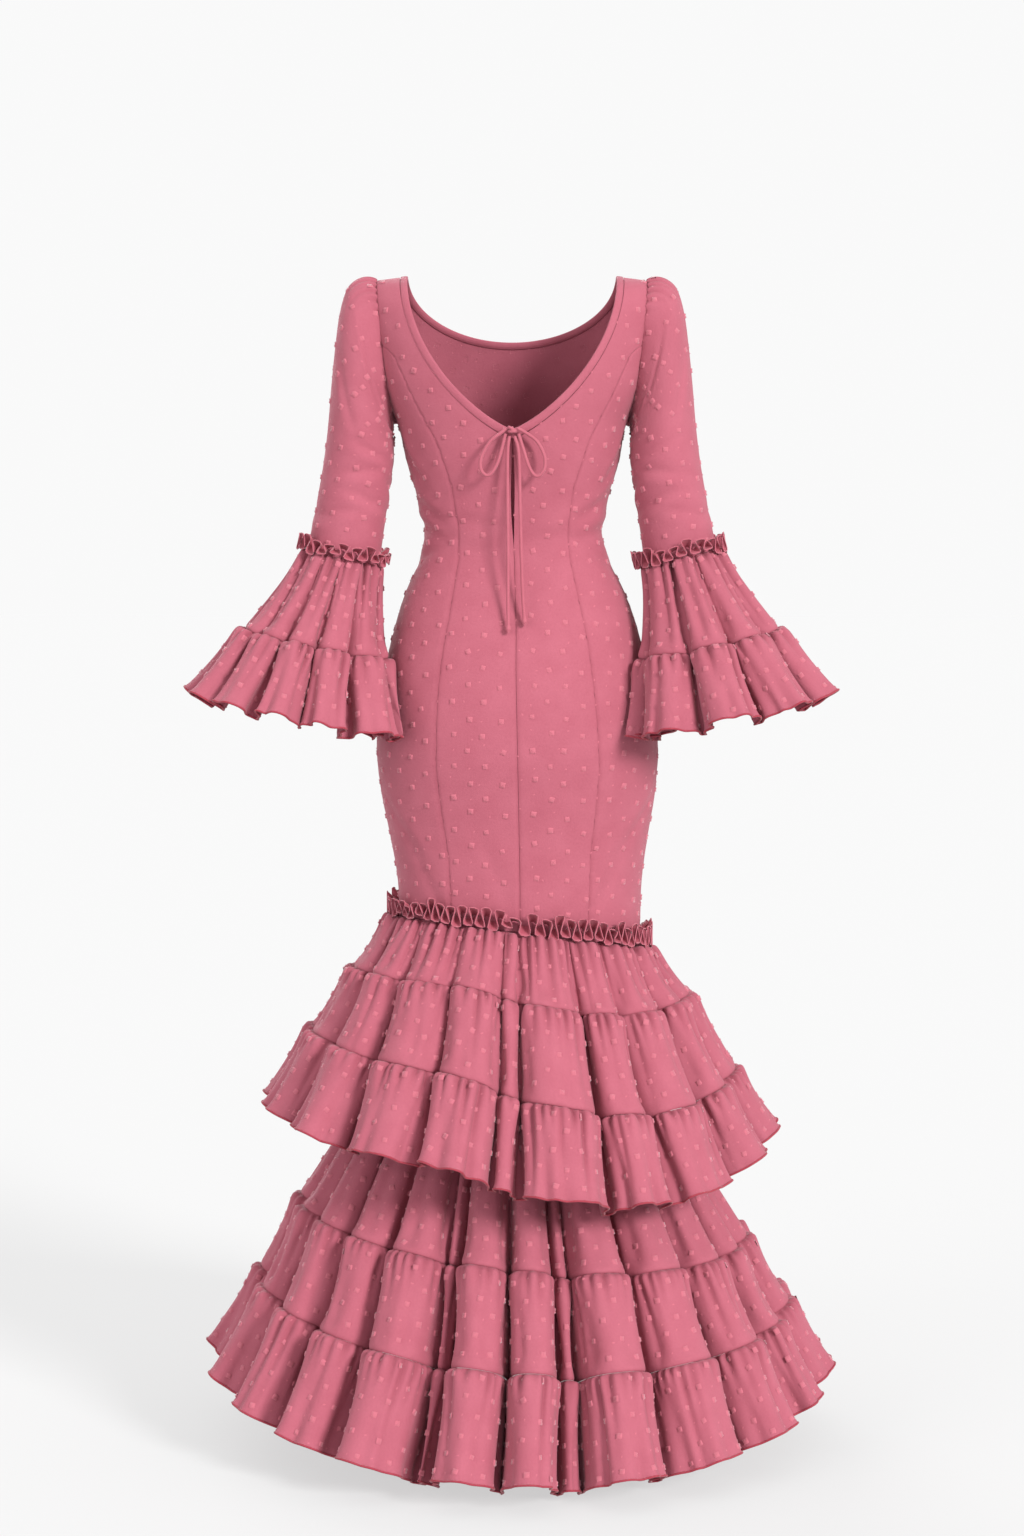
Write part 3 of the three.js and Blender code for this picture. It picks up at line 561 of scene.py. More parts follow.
def creased(turn, z):
    """How far the worn cloth lies off its smooth form."""
    lift = np.zeros(np.broadcast(turn, z).shape)
    for at, height, lean, length, depth in CREASES:
        x = short_way(turn - at, 360) * WIDE_PER_DEGREE
        lift += 1.6 * depth * trough(x, z - height, lean, length, SHEATH_RIDGE)
    return lift


def panel_piece(name, node, inner, outer, top, columns, side=1, front=False, flat_from=None,
                bound_above=0.0):
    """A sheath panel between two edges given as turns at a row, from its top edge down.
    top gives the height of that edge at a distance from the middle. Above bound_above the inner
    edge is bound and not seamed."""
    shares = np.linspace(0, 1, columns)
    steps = np.linspace(0, 1, 150)[:, None]
    # Columns run from the top edge to the drop line, and the rows are spread evenly between.
    z = top(np.zeros(columns)) + (DROP_LINE - top(np.zeros(columns))) * steps
    for _ in range(25):
        row = row_at(z)
        start, end = inner(z, row), outer(z, row)
        turn = start + (end - start) * shares
        level = top(np.abs(sheath_point(turn[0], row[0])[:, 0]))
        z += 0.6 * (level + (drop_height(side * turn[-1]) - level) * steps - z)
    turn = side * turn
    smooth = sheath_point(turn, row)
    out = sheath_out(turn, row)
    gaps = np.linalg.norm(np.diff(smooth, axis=1), axis=2)
    across = np.hstack([np.zeros((len(z), 1)), np.cumsum(gaps, 1)])
    lift = creased(turn, z)
    pucker, painted_light = np.zeros_like(lift), np.zeros_like(lift)
    seamed = np.clip((bound_above - z) / 15, 0, 1)
    for near, share, phase in ((across, seamed, 0.0), (across[:, -1:] - across, 1.0, 2.0)):
        wave = np.sin(z / 2.3 + phase) + 0.7 * np.sin(z / 3.7 + 1.3 * phase)
        pucker += share * 0.28 * wave * np.exp(-(near / 7) ** 2)
        pucker -= share * 0.9 * np.exp(-(near / 1.6) ** 2)
        # painted shade: a thin darker line along each seam groove
        painted_light = np.maximum(painted_light, share * 0.4 * np.exp(-(near / 1.0) ** 2))
    points = smooth + (lift + pucker)[..., None] * out
    if front:
        across = across - across[:, -1:] / 2
    if flat_from is not None:
        across = across + flat_from(z[:, :1])
    if side < 0:
        points, across, painted_light = points[:, ::-1], -across[:, ::-1], painted_light[:, ::-1]
    piece = cloth_piece(name, points, across, -z[:, ::side], painted_light=painted_light)
    dots = dots_on(name.replace("cloth", "dots"), points, across, -z.mean(1))
    for item in (piece, dots):
        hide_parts(node)
    gaps_down = np.linalg.norm(np.diff(points, axis=0), axis=2)
    width = float(np.ptp(across)) / 1000
    length = float(-z.min() + z.max()) / 1000


def back_inner(z, row):
    edge = np.maximum(neck_edge(z, BINDING + GAP), slit_edge(z))
    return turn_at(edge, row)


def back_outer(z, row):
    x = np.where(z > -90, along(BACK_ARMHOLE, z), along(PRINCESS, z))
    return turn_at(x, row)


def side_inner(z, row):
    return turn_at(along(PRINCESS, z), row)


def side_outer(z, row):
    return np.where(z > UNDERARM, turn_at(along(BACK_ARMHOLE, z), row), 90)


def front_edge(z, row):
    return np.where(z > UNDERARM, turn_at(along(FRONT_ARMHOLE, z), row, "front"), 90)


# The shoulder edges lie a hair below the shoulder line, and the front goes up under its binding.
SHOULDER_TOP, SIDE_BACK_TOP, UNDER_BINDING = -0.02, -90.5, 2.5


def scoop(x):
    """The height of the front neckline at a distance from the middle."""
    wide, deep = NECK_HALF + BINDING - UNDER_BINDING, FRONT_NECK + BINDING - UNDER_BINDING
    return np.minimum(-deep * np.sqrt(np.clip(1 - (x / wide) ** 2, 0, 1)), SHOULDER_TOP)


for hand, side in HANDS:
    panel_piece(f"back_cloth_{hand}", f"back_{hand}", back_inner, back_outer,
                lambda x: np.full_like(x, SHOULDER_TOP), 42, side,
                flat_from=lambda z: neck_edge(z, BINDING), bound_above=SLIT_END)
    panel_piece(f"side_back_cloth_{hand}", f"side_back_{hand}", side_inner, side_outer,
                lambda x: np.full_like(x, SIDE_BACK_TOP), 30, side,
                flat_from=lambda z: along(PRINCESS, z) * 1.05)
panel_piece("front_cloth", "front", front_edge, lambda z, row: 360 - front_edge(z, row),
            scoop, 100, front=True)

# ---- neck binding
# One strip of the same crepe, folded over the whole neck edge from one side of the V, over both
# shoulders, to the other. It is edge-stitched close to its inner fold.

def neck_line(widen):
    """Half of the neckline as turns and rows, from the point of the V to the front's middle."""
    share = 1 - np.linspace(0, 1, 150) ** 1.6
    z = -(BACK_NECK + 1.3 * widen) * share
    back_row = row_at(np.minimum(z, -0.05))
    back = turn_at(np.maximum(neck_edge(z, widen), GAP), back_row)
    angle = np.radians(np.linspace(0, 90, 71)[1:])
    z = -(FRONT_NECK + widen) * np.sin(angle)
    front_row = row_at(z)
    front = turn_at((NECK_HALF + widen) * np.cos(angle), front_row, "front")
    return np.concatenate([back, front]), np.concatenate([back_row, front_row])


def neck_band():
    # across the band from the neck edge, and out from the cloth
    profile = [(0.4, -1.3), (-0.5, -0.2), (0.1, 0.9), (1.6, 1.3), (4.5, 1.3), (6.6, 1.2),
               (7.1, 1.0), (7.7, 1.1), (8.6, 0.5), (8.8, -0.5), (8.0, -1.3)]
    columns = []
    for widen, out in profile:
        turn, row = neck_line(widen)
        half = sheath_point(turn, row) + out * sheath_out(turn, row)
        columns.append(np.vstack([half, (half * [-1, 1, 1])[::-1][1:]]))
    grid = np.stack(columns, 1)
    length, wide = run_along(grid[:, 4]), run_along(grid[9])
    wide = np.append(wide, 2 * wide[-1] - wide[-2])
    # painted shade along the band's edges and in its stitching groove
    painted_light = np.array([0.2, 0, 0, 0, 0, 0, 0.25, 0, 0.05, 0.35, 0.2])
    piece = cloth_piece("neck_band", grid, wide, length, closed=True, painted_light=painted_light)
    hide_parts("neck_binding")


neck_band()

# ---- sleeves
# One piece of crepe each, set into the armhole with a gathered head that stands up slightly at
# the shoulder point. It narrows to the elbow and creases softly where the arm bends.

# outermost and innermost points seen from behind, half depth and middle from front to back
ARM = np.array([
    (178, -8, 151, -186, 44, 0), (196, 0, 151, -188, 46, 2), (210, -18, 151.5, -191, 49, 4),
    (219, -48, 151.5, -195, 51, 7), (225, -92, 151.5, -200, 52, 10), (230, -142, 151, -206, 52, 13),
    (234, -190, 150.5, -216, 50, 16), (239, -232, 151, -244, 48, 18),
    (245, -268, 157, -284, 46, 20), (252, -306, 163, -322, 44.5, 22),
    (261, -350, 169, -369, 43.5, 24),
], float)
ARM_END = len(ARM) - 1
# pleats of the gathered head: angle, depth, and how many rows down the arm they reach
HEAD_PLEATS = [(-58, 1.5, 0.7), (-47, 2.2, 1.0), (-36, 2.0, 1.3), (-27, 2.6, 1.0), (-18, 2.2, 1.5),
               (-9, 2.9, 1.1), (1, 2.3, 1.6), (10, 2.9, 1.1), (20, 2.3, 1.5), (29, 2.7, 1.0),
               (38, 2.1, 1.4), (48, 2.3, 1.0), (59, 1.6, 0.8)]
# soft creases: angle, row, lean, length and depth
ARM_CREASES = [
    (150, 3.2, 62, 30, 1.3), (165, 4.2, 56, 34, 1.4), (120, 6.6, 20, 36, 1.3),
    (100, 7.3, -12, 34, 1.5), (125, 8.2, 14, 34, 1.7), (75, 8.7, -16, 30, 1.2),
    (200, 4.6, -50, 34, 1.4), (215, 7.0, -18, 34, 1.4), (240, 8.1, 12, 32, 1.6),
    (300, 7.6, 16, 30, 1.1), (30, 8.9, 10, 30, 1.0), (170, 7.6, 30, 30, 1.4),
    (60, 5.0, 66, 44, 0.8), (95, 2.6, 58, 40, 0.8),
]
ARM_RIDGE = (0.6, 12, 8, 7)
ARM_PER_DEGREE, ARM_PER_ROW = 0.8, 40


def arm_ring(values, angle, wider=0.0):
    """Points of a ring round the left arm. 0 is the outside, 90 the back."""
    outer_x, outer_z, inner_x, inner_z, depth, y = values
    angle = np.radians(angle)
    across_x, across_z = (outer_x - inner_x) / 2, (outer_z - inner_z) / 2
    radius = np.hypot(across_x, across_z)
    grown = (radius + wider) / radius * np.cos(angle)
    return np.stack([
        (outer_x + inner_x) / 2 + across_x * grown,
        y + (depth + wider) * np.sin(angle),
        (outer_z + inner_z) / 2 + across_z * grown,
    ], -1)


def armhole(angle):
    angle = np.mod(angle, 360)
    z = -1 + (UNDERARM + 1) * (1 - np.cos(np.radians(angle))) / 2
    row = row_at(z)
    turn = np.where(angle <= 180, turn_at(along(BACK_ARMHOLE, z), row),
                    turn_at(along(FRONT_ARMHOLE, z), row, "front"))
    return sheath_point(turn, row)


for hand, side in HANDS:
    angles = np.linspace(0, 360, 240, endpoint=False)
    rings = np.concatenate([np.linspace(0, 1, 24) ** 1.3 * 2, np.linspace(2, ARM_END, 78)[1:]])
    angle, ring = np.meshgrid(angles, rings)
    shape = arm_ring(np.moveaxis(between_rows(ARM, ring), -1, 0), angle)
    ease = np.clip(ring / 2, 0, 1)
    ease = (ease * ease * (3 - 2 * ease))[..., None]
    start = armhole(angle) - [1.5, 0, 0]
    points = start * (1 - ease) + shape * ease
    around = np.roll(points, -1, 1) - np.roll(points, 1, 1)
    out = unit(np.cross(np.gradient(points, axis=0), around))
    # the gathered head: short deep pleats over the shoulder point, each with painted shade in its
    # bottom
    lift, shade = np.zeros_like(ring), np.zeros_like(ring)
    turn = short_way(angle, 360)
    for at, depth, reach in HEAD_PLEATS:
        pleat = depth * np.exp(-((turn - at) / 3.1) ** 2 - (ring / reach) ** 2)
        lift -= 1.9 * pleat * np.clip(ring / 0.15, 0, 1)
        shade += 0.24 * pleat
    lift += 4.5 * np.exp(-(turn / 62) ** 2) * np.exp(-((ring - 0.55) / 0.7) ** 2)
    for at, place, lean, length, depth in ARM_CREASES:
        x = short_way(angle - at, 360) * ARM_PER_DEGREE
        lift += 1.7 * depth * trough(x, (ring - place) * ARM_PER_ROW, lean, length, ARM_RIDGE)
    lift -= 0.6 * np.exp(-(ring / 0.04) ** 2)
    points = points + lift[..., None] * out
    steps = np.linalg.norm(np.diff(points, axis=0), axis=2).mean(1)
    down = np.concatenate([[0], np.cumsum(steps)])
    gaps = np.linalg.norm(np.roll(points, -1, 1) - points, axis=2)
    across = np.hstack([np.zeros((len(rings), 1)), np.cumsum(gaps, 1)])
    # painted shade along the armhole seam and in the pleats of the head
    painted_light = np.maximum(0.5 * np.exp(-(down / 1.3) ** 2)[:, None], shade.clip(0, 0.6))
    if side > 0:
        points, painted_light = points[:, ::-1], painted_light[:, ::-1]
        across = across[:, -1:] - across[:, ::-1]
    else:
        points = points * [-1, 1, 1]
    piece = cloth_piece(f"sleeve_cloth_{hand}", points, across, down, closed=True, painted_light=painted_light)
    dots = dots_on(f"sleeve_dots_{hand}", points, across, down, closed=True, margin=9)
    for item in (piece, dots):
        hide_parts(f"sleeve_{hand}")

# ---- ruches
# Narrow double strips gathered so tightly along one edge that the other winds from side to side.
# One runs round each sleeve over the flounce seam, and one round the drop line of the skirt.

def ruche_material():
    made, surface, start = material("ruched_crepe", 0.78, 0.3)
    slub = noise(start, start.make("ShaderNodeUVMap", {"uv_map": "flat"}), 500.0, 3.0)
    colour = mixed(start, slub, linear(138, 56, 70), linear(160, 76, 90))
    # painted highlight: the colour lightens towards the outer rim of the frill
    painted_light = start.make("ShaderNodeAttribute", {"attribute_name": "painted_light"}, out=2)
    colour = mixed(start, painted_light, colour, linear(170, 90, 104))
    return finish(made, surface, colour, slub, 0.0005)


RUCHED = ruche_material()


def run_round(points):
    """Distance along a closed line of points, with the whole length last."""
    return run_along(np.vstack([points, points[:1]]))


def ruche_piece(name, node, path, out, up, height, reach, waves):
    """A frill along a closed path, that stands out by its reach and winds over its height."""
    s = np.arange(len(path)) / len(path)
    ends = np.linspace(0, 1, waves + 1)
    drift = np.interp(s, np.linspace(0, 1, waves // 2 + 1),
                      np.append(chance.normal(0, 0.3, waves // 2), 0))
    drift = drift * (s * (1 - s) * 4).clip(0, 0.3)
    phase = 2 * math.pi * waves * s + 4 * drift
    # each turn of the wave has its own size, its own middle, and its own reach
    size = np.interp(s, ends, chance.uniform(0.4, 1.0, waves + 1))
    sink = np.interp(s, ends, chance.uniform(-0.35, 0.35, waves + 1))
    stand = np.interp(s, ends, chance.uniform(0.75, 1.0, waves + 1))
    wave = np.tanh(1.2 * np.sin(phase)) / math.tanh(1.2) * size + sink
    step = unit(np.roll(path, -1, 0) - np.roll(path, 1, 0))
    share = np.array([0, 0.2, 0.42, 0.64, 0.84, 1.0])
    w = share[:, None, None]
    grid = (
        path
        + out * (0.4 + reach * w * stand[:, None])
        + up * (height / 2 * (0.2 + 0.8 * w ** 0.8) * wave[:, None])
        - step * (4.4 * w * np.sin(2 * phase + drift)[:, None])
    )
    across = run_round(grid[-1])
    # painted highlight, growing to its strongest at the outer rim
    painted_light = np.array([0, 0, 0, 0.1, 0.45, 1.0])[:, None]
    piece = cloth_piece(name, grid, across, share * reach, closed=True, painted_light=painted_light, cloth=RUCHED)
    points, faces = ring_tube(grid[-1][::2], 0.75, 5)
    edge = mesh_piece(name + "_edge", points, faces, RUCHED)
    # the rolled rim takes the same painted highlight
    edge.data.attributes.new("painted_light", "FLOAT", "POINT").data.foreach_set(
        "value", np.full(len(points), 0.7, np.float32))
    for item in (piece, edge):
        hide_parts(node)


turn = np.linspace(0, 360, 1500, endpoint=False)
row = row_at(drop_height(turn) + 12.5)
out = sheath_out(turn, row)
ruche_piece("skirt_ruche_cloth", "skirt_ruche", sheath_point(turn, row) + 1.2 * out, out,
            np.array([0.0, 0.0, 1.0]), 33.0, 14.0, 66)
for hand, side in HANDS:
    angle = np.linspace(0, 360, 620, endpoint=False)[::side]
    last = ARM[-1]
    up = unit(np.array([last[3] - last[1], 0.0, last[0] - last[2]]))
    path = arm_ring(last, angle, 1.5) + 10.5 * up
    out = unit(arm_ring(last, angle, 9) - arm_ring(last, angle))
    flip = np.array([side, 1, 1])
    ruche_piece(f"sleeve_ruche_cloth_{hand}", f"sleeve_{hand}_ruche", path * flip, out * flip,
                up * flip, 26.0, 12.5, 21)

# ---- flounces of the skirt
# Two flounces, each of three strips. Each strip is longer than the edge that it is gathered
# onto, so the cloth stands in deep round folds that run through all three, and every join is
# puckered. The last strip ends in a narrow rolled hem.

UPPER_FOLDS = [
    (1, 0.5, 0), (7, 1, 0.1), (25, 0.97, 0.2), (46.5, 1, 0.1), (65, 1, 0.2), (87, 1, 0.1),
    (108, 0.95, 0.2), (127, 1, 0), (148, 0.9, 0.2), (166, 1, 0.1), (185, 0.95, 0.1),
    (204, 1, 0.2), (222, 0.95, 0), (243, 1, 0.2), (262, 1, 0.1), (285, 1, 0.2),
    (301.5, 0.97, 0.1), (322.5, 0.92, 0.2), (338, 1.05, 0),
]
LOWER_FOLDS = [
    (4, 1, 0.1), (18, 0.45, 0), (22, 1, 0), (38, 0.97, 0.2), (53.5, 1, 0.1), (68, 1, 0.2),
    (84, 1, 0.1), (100, 0.95, 0.1), (117, 1, 0), (134, 0.92, 0.2), (150, 1, 0.1),
    (166, 0.95, 0), (183, 1, 0.1), (199, 0.95, 0.2), (216, 1, 0), (232, 0.93, 0.1),
    (248, 1, 0.2), (265, 1, 0.1), (283, 0.97, 0.2), (296, 1, 0.1), (313, 1, 0.2),
    (331, 1.03, 0.1), (347.5, 0.45, 0), (352, 1, 0),
]
# half width, half depth, depth of the folds, height, sideways tilt, drop at the back, sway
UPPER_LEVELS = [
    (166.5, 117.5, 3, -840, 21.2, -10.9, -10), (220, 182, 24, -904.5, 13.5, -2, -11),
    (277, 250, 44, -991.5, 20.5, 19, -14), (337, 322, 64, -1072.5, 10.5, 38, -10),
]
LOWER_LEVELS = [
    (170, 123, 3, -1021, 15.3, 0, -10), (292, 262, 52, -1210, 25, 15, -15),
    (346, 325, 72, -1299, 18, 38, -16), (410, 395, 88, -1390.5, 8.5, 64, -10),
]
FRONT_SHARE, DIP = 0.25, 0.45
# how much lower than an even hem the upper flounce hangs: angle, and millimetres at the hem
HANG = [(-180, 0), (-90, 4), (-70, 10), (-52, 24), (-36, 28), (-12, 18), (4, -4), (21, -24),
        (38, -20), (70, -18), (95, -8), (180, 0)]


HEM = yarn_material("rolled_hem", 0.75, 0.2, 500.0, 0.0005, linear(124, 34, 48),
                    linear(156, 58, 72))
# strips of the skirt: columns of the sheet, share of long gathers, and fullness
SKIRT_TIERS = {"top": (1250, 0.75, 1.25), "middle": (1400, 0.25, 1.1), "hem": (1600, 0.2, 1.1)}
# uneven gathers, from and to: spacing, depth, and reach of the short and of the long ones
GATHER_GAP, GATHER_DEPTH, SHORT_GATHER, LONG_GATHER = (9, 18), (5, 11), (11, 27), (36, 80)
PUFF, TUCK = 9.0, 2.2


def in_folds(folds, angle):
    """How far out each angle is, its place in its fold from -1 to 1, and the fold's half width."""
    angle = np.mod(angle, 360)
    starts = np.array([f[0] for f in folds], float)
    ends = np.append(starts[1:], starts[0] + 360)
    i = np.searchsorted(starts, angle, side="right") - 1
    angle = np.where(i < 0, angle + 360, angle)
    i = i % len(folds)
    reach = np.array([f[1] for f in folds])[i]
    valleys = np.array([f[2] for f in folds], float)
    half = (ends[i] - starts[i]) / 2
    place = (angle - starts[i]) / half - 1
    low = np.where(place < 0, valleys[i], valleys[(i + 1) % len(folds)])
    height = low + (reach - low) * np.clip(1 - place ** 2, 0, 1) ** 0.85
    return height, place, half


def skirt_ring(level, angle, folds):
    half, depth, fold, z, tilt, back, x = level
    share = (UPPER_LEVELS[0][3] - z) / (UPPER_LEVELS[0][3] - UPPER_LEVELS[-1][3])
    share = math.sqrt(share) if folds is UPPER_FOLDS else 0.0
    hang = share * np.interp(short_way(angle, 360), *zip(*HANG))
    height, place, wide = in_folds(folds, angle)
    # the sides of a deep fold lean over the hollows beside it
    lean = 0.17 * min(fold / 45, 1) * np.sin(math.pi * place) * wide
    turn = np.radians(angle + lean)
    across, to_back = np.sin(turn), np.cos(turn)
    inward = fold * (1 - height)
    down = np.where(to_back > 0, back * to_back, FRONT_SHARE * max(back, 0) * -to_back)
    return np.stack([
        x + (half - inward) * across,
        (depth - inward) * to_back,
        z + tilt * across - down - hang - DIP * inward,
    ], -1)


def tier_piece(name, node, ring, levels, folds, tier, rests, last=False, reverse=False):
    """One gathered strip between two levels, with its dots and, on the last one, its hem."""
    upper, lower = levels
    columns, long_share, fullness = tier
    fine = np.linspace(0, 360, 9000, endpoint=False)
    lengths = run_round(ring(lower, fine, folds))
    angle = np.interp(np.arange(columns) / columns * lengths[-1], lengths, np.append(fine, 360))
    top, bottom = ring(upper, angle, folds), ring(lower, angle, folds)
    tall = float(np.linalg.norm(bottom - top, axis=1).mean())
    t = np.concatenate([[0, 0.8, 2, 3.6, 5.6, 8, 11, 14.5, 19, 24],
                        np.linspace(30, tall - 7, max(int(tall / 11), 6)),
                        [tall - 3.5, tall - 1.6, tall - 0.6, tall]])
    v = (t / tall)[:, None, None]
    base = top[None] * (1 - v) + bottom[None] * v
    around = np.roll(base, -1, 1) - np.roll(base, 1, 1)
    out = unit(np.cross(around, np.gradient(base, axis=0)))
    middle = base.mean(1, keepdims=True)
    if float((out * (base - middle)).sum()) < 0:
        out = -out
    top_run, bottom_run = run_round(top), run_round(bottom)
    puff = (1 - np.exp(-t / 3.0)) * np.exp(-(t / 34) ** 1.5)
    crown = np.sqrt(np.clip(1.02 - in_folds(folds, angle)[1] ** 2, 0, 1))
    lift = PUFF * fullness * puff[:, None] * crown
    # gathers at the top edge: narrow pleats of uneven spacing, depth and length, with painted shade
    # in their bottoms
    place = 0.0
    pleats = np.zeros_like(lift)
    while place < top_run[-1]:
        gap, depth = chance.uniform(*GATHER_GAP), chance.uniform(*GATHER_DEPTH)
        reach = chance.uniform(*(SHORT_GATHER if chance.random() > long_share else LONG_GATHER))
        near = short_way(top_run[:-1] - place, top_run[-1])
        pleat = np.exp(-np.abs(near / (gap * 0.3)) ** 1.6)
        fade = (1 - np.exp(-t / 1.5)) * np.exp(-(t / reach) ** 1.4)
        pleats += depth * fullness * fade[:, None] * pleat
        place += gap
    lift -= pleats
    # soft hollows that open towards the bottom edge
    place = chance.uniform(0, 30)
    while place < bottom_run[-1]:
        gap = chance.uniform(24, 60)
        depth = chance.uniform(3.0, 13.0 if last else 9.0)
        near = short_way(bottom_run[:-1] - place, bottom_run[-1])
        hollow = np.exp(-(near / chance.uniform(8, 15)) ** 2)
        # a hollow closes again at a seam, and stays open at a hem
        shut = 1.0 if last else 1 - np.exp(-((tall - t) / 16) ** 2)
        lift -= depth * (shut * np.clip(t / tall, 0, 1) ** 1.2)[:, None] * hollow
        place += gap
    # the raw edge is tucked under the strip above
    lift -= TUCK * np.exp(-(t / 1.6) ** 2)[:, None]
    if last:
        lift += 1.6 * np.exp(-((tall - t) / 6) ** 2)[:, None]
    else:
        lift -= 1.6 * np.exp(-((tall - t) / 3.0) ** 2)[:, None]
    points = base + lift[..., None] * out
    # painted shade along the joins, at the top edge and at the bottom edge above a seam, and in the
    # bottoms of the gathers
    painted_light = np.exp(-(t / 1.3) ** 2)
    if not last:
        painted_light = np.maximum(painted_light, np.exp(-((tall - t) / 1.3) ** 2))
    painted_light = np.maximum(painted_light[:, None], (0.081 * pleats).clip(0, 0.63))
    if reverse:
        points, painted_light = points[:, ::-1], painted_light[:, ::-1]
    across = np.linspace(0, lengths[-1], columns + 1)
    piece = cloth_piece(name, points, across, t, closed=True, painted_light=painted_light)
    dots = dots_on(name.replace("cloth", "dots"), points, across, t, closed=True,
                   margin=7, shift=chance.uniform(0, 12))
    extra = [dots]
    if last:
        some, faces = ring_tube(points[-1][::2], 1.5, 6)
        hem = mesh_piece(name.replace("cloth", "hem"), some, faces, HEM)
        extra.append(hem)
    for item in (piece, *extra):
        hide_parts(node)


for flounce, levels, folds, above in (
    ("upper", UPPER_LEVELS, UPPER_FOLDS, "back_cloth_left"),
    ("lower", LOWER_LEVELS, LOWER_FOLDS, "underskirt_cloth"),
):
    for pair, (place, tier) in zip(zip(levels, levels[1:]), SKIRT_TIERS.items()):
        name = f"{flounce}_flounce_cloth_{place}"
        tier_piece(name, f"{flounce}_flounce_{place}", skirt_ring, pair, folds, tier, above,
                   last=place == "hem")
        above = name

# ---- flounces of the sleeves
# The same in little, two strips to a sleeve. They stand out round the forearm, and the folds
# next to the body lie against the hip.

CUFF_FOLDS = {
    "left": [(9, 1, 0.1), (37, 1, 0.2), (64, 1.02, 0.1), (91.5, 1, 0.1), (121, 1, 0),
             (160, 0.95, 0.2), (196, 1, 0.1), (230, 0.95, 0.1), (263, 1, 0.2), (297, 0.95, 0),
             (332, 1, 0.1)],
    "right": [(4, 1, 0.1), (36, 1, 0.2), (71, 1.02, 0), (108, 1, 0), (153, 0.95, 0.2),
              (190, 1, 0.1), (226, 0.95, 0.1), (260, 1, 0.2), (295, 0.95, 0), (330, 1, 0.1)],
}
# as the table of the arm, with the depth of the folds; the left flounce lies closer to the hip
CUFF_LEVELS = {
    hand: [(262, -346.5, 168, -366.5, 45, 24, 2), (342, -446, 152, -485, 80, 48, 20),
           (416, -522, inner, -581, 116, 70, 42)]
    for hand, inner in (("left", 118), ("right", 128))
}
CUFF_TIERS = {"top": (660, 0.8, 1.15), "hem": (780, 0.25, 1.2)}
HIP_CLEARANCE = 11


def clear_of_hip(points, side):
    """Moves points that are inside the widened sheath straight out of it."""
    points = points.copy()
    flat = points.reshape(-1, 3)
    _, half, back, front, sway = np.moveaxis(between_rows(SHEATH, row_at(flat[:, 2])), -1, 0)
    wide = half + HIP_CLEARANCE
    deep = np.where(flat[:, 1] > 0, back, -front) + HIP_CLEARANCE
    for _ in range(12):
        x, y = flat[:, 0] - side * sway, flat[:, 1]
        inside = np.abs(x / wide) ** SQUARE + np.abs(y / deep) ** SQUARE
        slope_x = SQUARE * np.abs(x / wide) ** (SQUARE - 1) / wide
        slope_y = np.sign(y) * SQUARE * np.abs(y / deep) ** (SQUARE - 1) / deep
        move = np.clip(1 - inside, 0, None) / (slope_x ** 2 + slope_y ** 2)
        flat[:, 0] += move * slope_x
        flat[:, 1] += move * slope_y
    return points


def cuff_ring(side):
    def ring(level, angle, folds):
        fold = level[6]
        height, place, wide = in_folds(folds, angle)
        lean = 0.16 * min(fold / 26, 1) * np.sin(math.pi * place) * wide
        inward = fold * (1 - height)
        points = arm_ring(level[:6], angle + lean, -inward)
        points[:, 2] -= DIP * inward
        return clear_of_hip(points, side) * [side, 1, 1]
    return ring


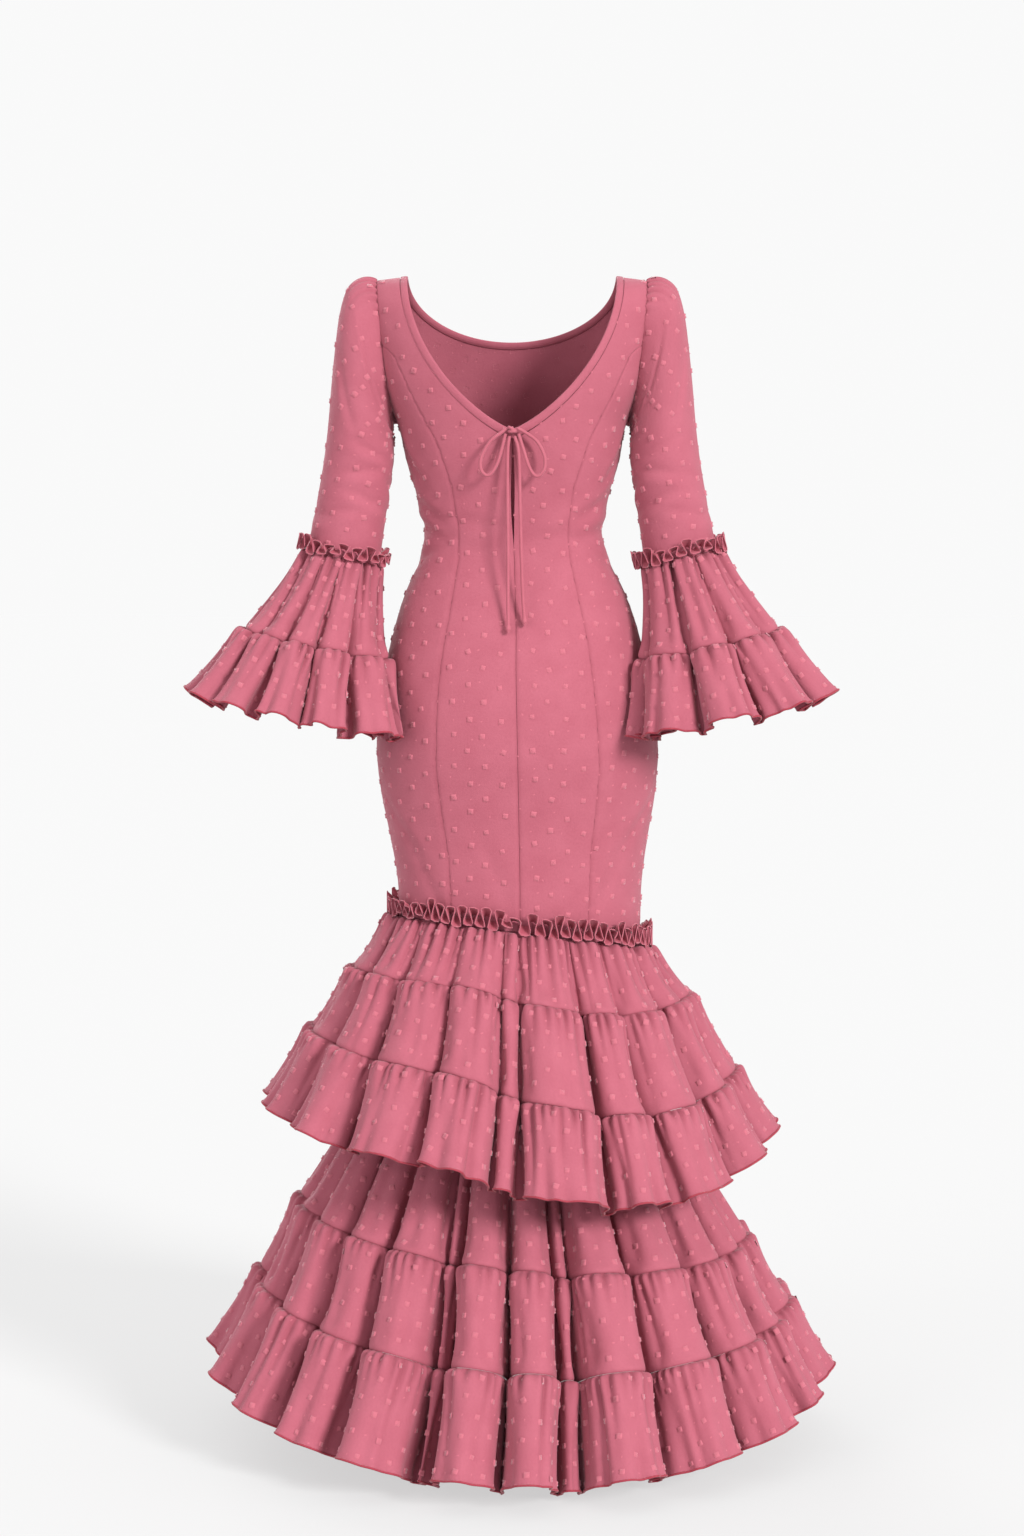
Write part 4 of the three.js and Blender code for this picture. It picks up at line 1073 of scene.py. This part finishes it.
for hand, side in HANDS:
    levels = CUFF_LEVELS[hand]
    above = f"sleeve_cloth_{hand}"
    for pair, (place, tier) in zip(zip(levels, levels[1:]), CUFF_TIERS.items()):
        name = f"sleeve_flounce_cloth_{place}_{hand}"
        tier_piece(name, f"sleeve_{hand}_flounce_{place}", cuff_ring(side), pair,
                   CUFF_FOLDS[hand], tier, above, last=place == "hem", reverse=side > 0)
        above = name

# ---- underskirt
# A plain tube of the same crepe, sewn in under the upper flounce, which carries the lower one.

turns, steps = np.meshgrid(np.linspace(0, 360, 72, endpoint=False), np.linspace(0, 1, 20))
top = drop_height(turns) - 1
bottom = -1020 + 15 * curved(np.sin(np.radians(turns)))
heights = top + (bottom - top) * steps
rows = row_at(heights)
points = sheath_point(turns, rows) + (0.6 * np.sin(np.radians(turns * 9))
                                      * steps)[..., None] * sheath_out(turns, rows)
run = run_round(points[10])
piece = cloth_piece("underskirt_cloth", points, run, -heights.mean(1), closed=True)
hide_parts("underskirt")

# ---- light and floor
# A plain pale floor and world, with a soft key light from the right of the back, a fill from its
# left, and one more for the front.

floor_mesh = bpy.data.meshes.new("floor")
floor_mesh.from_pydata([(-30, -30, 0), (30, -30, 0), (30, 30, 0), (-30, 30, 0)], [], [(0, 1, 2, 3)])
floor = bpy.data.objects.new("floor", floor_mesh)
floor.location.z = packed[0][2] - 0.004
scene.collection.objects.link(floor)
pale, surface, start = material("pale_floor", 0.9)
surface.inputs["Base Color"].default_value = (0.22, 0.22, 0.22, 1)
surface.inputs["Emission Color"].default_value = (1, 1, 1, 1)
surface.inputs["Emission Strength"].default_value = 0.575
surface.inputs["Specular IOR Level"].default_value = 0.0
floor.data.materials.append(pale)
world = bpy.data.worlds.new("studio")
scene.world = world
world.use_nodes = True
world.node_tree.nodes["Background"].inputs["Color"].default_value = (1, 1, 1, 1)
world.node_tree.nodes["Background"].inputs["Strength"].default_value = 0.95


def lamp(name, turn, height, spread, strength):
    """A far, soft light from a turn round the dress and a height in degrees."""
    light = bpy.data.lights.new(name, "SUN")
    light.angle = math.radians(spread)
    light.energy = strength
    piece = bpy.data.objects.new(name, light)
    piece.rotation_euler = (math.radians(90 - height), 0, math.radians(180 - turn))
    scene.collection.objects.link(piece)


lamp("key", -40, 24, 16, 3.9)
lamp("fill", 48, 16, 34, 0.95)
lamp("front", 160, 21, 34, 1.5)
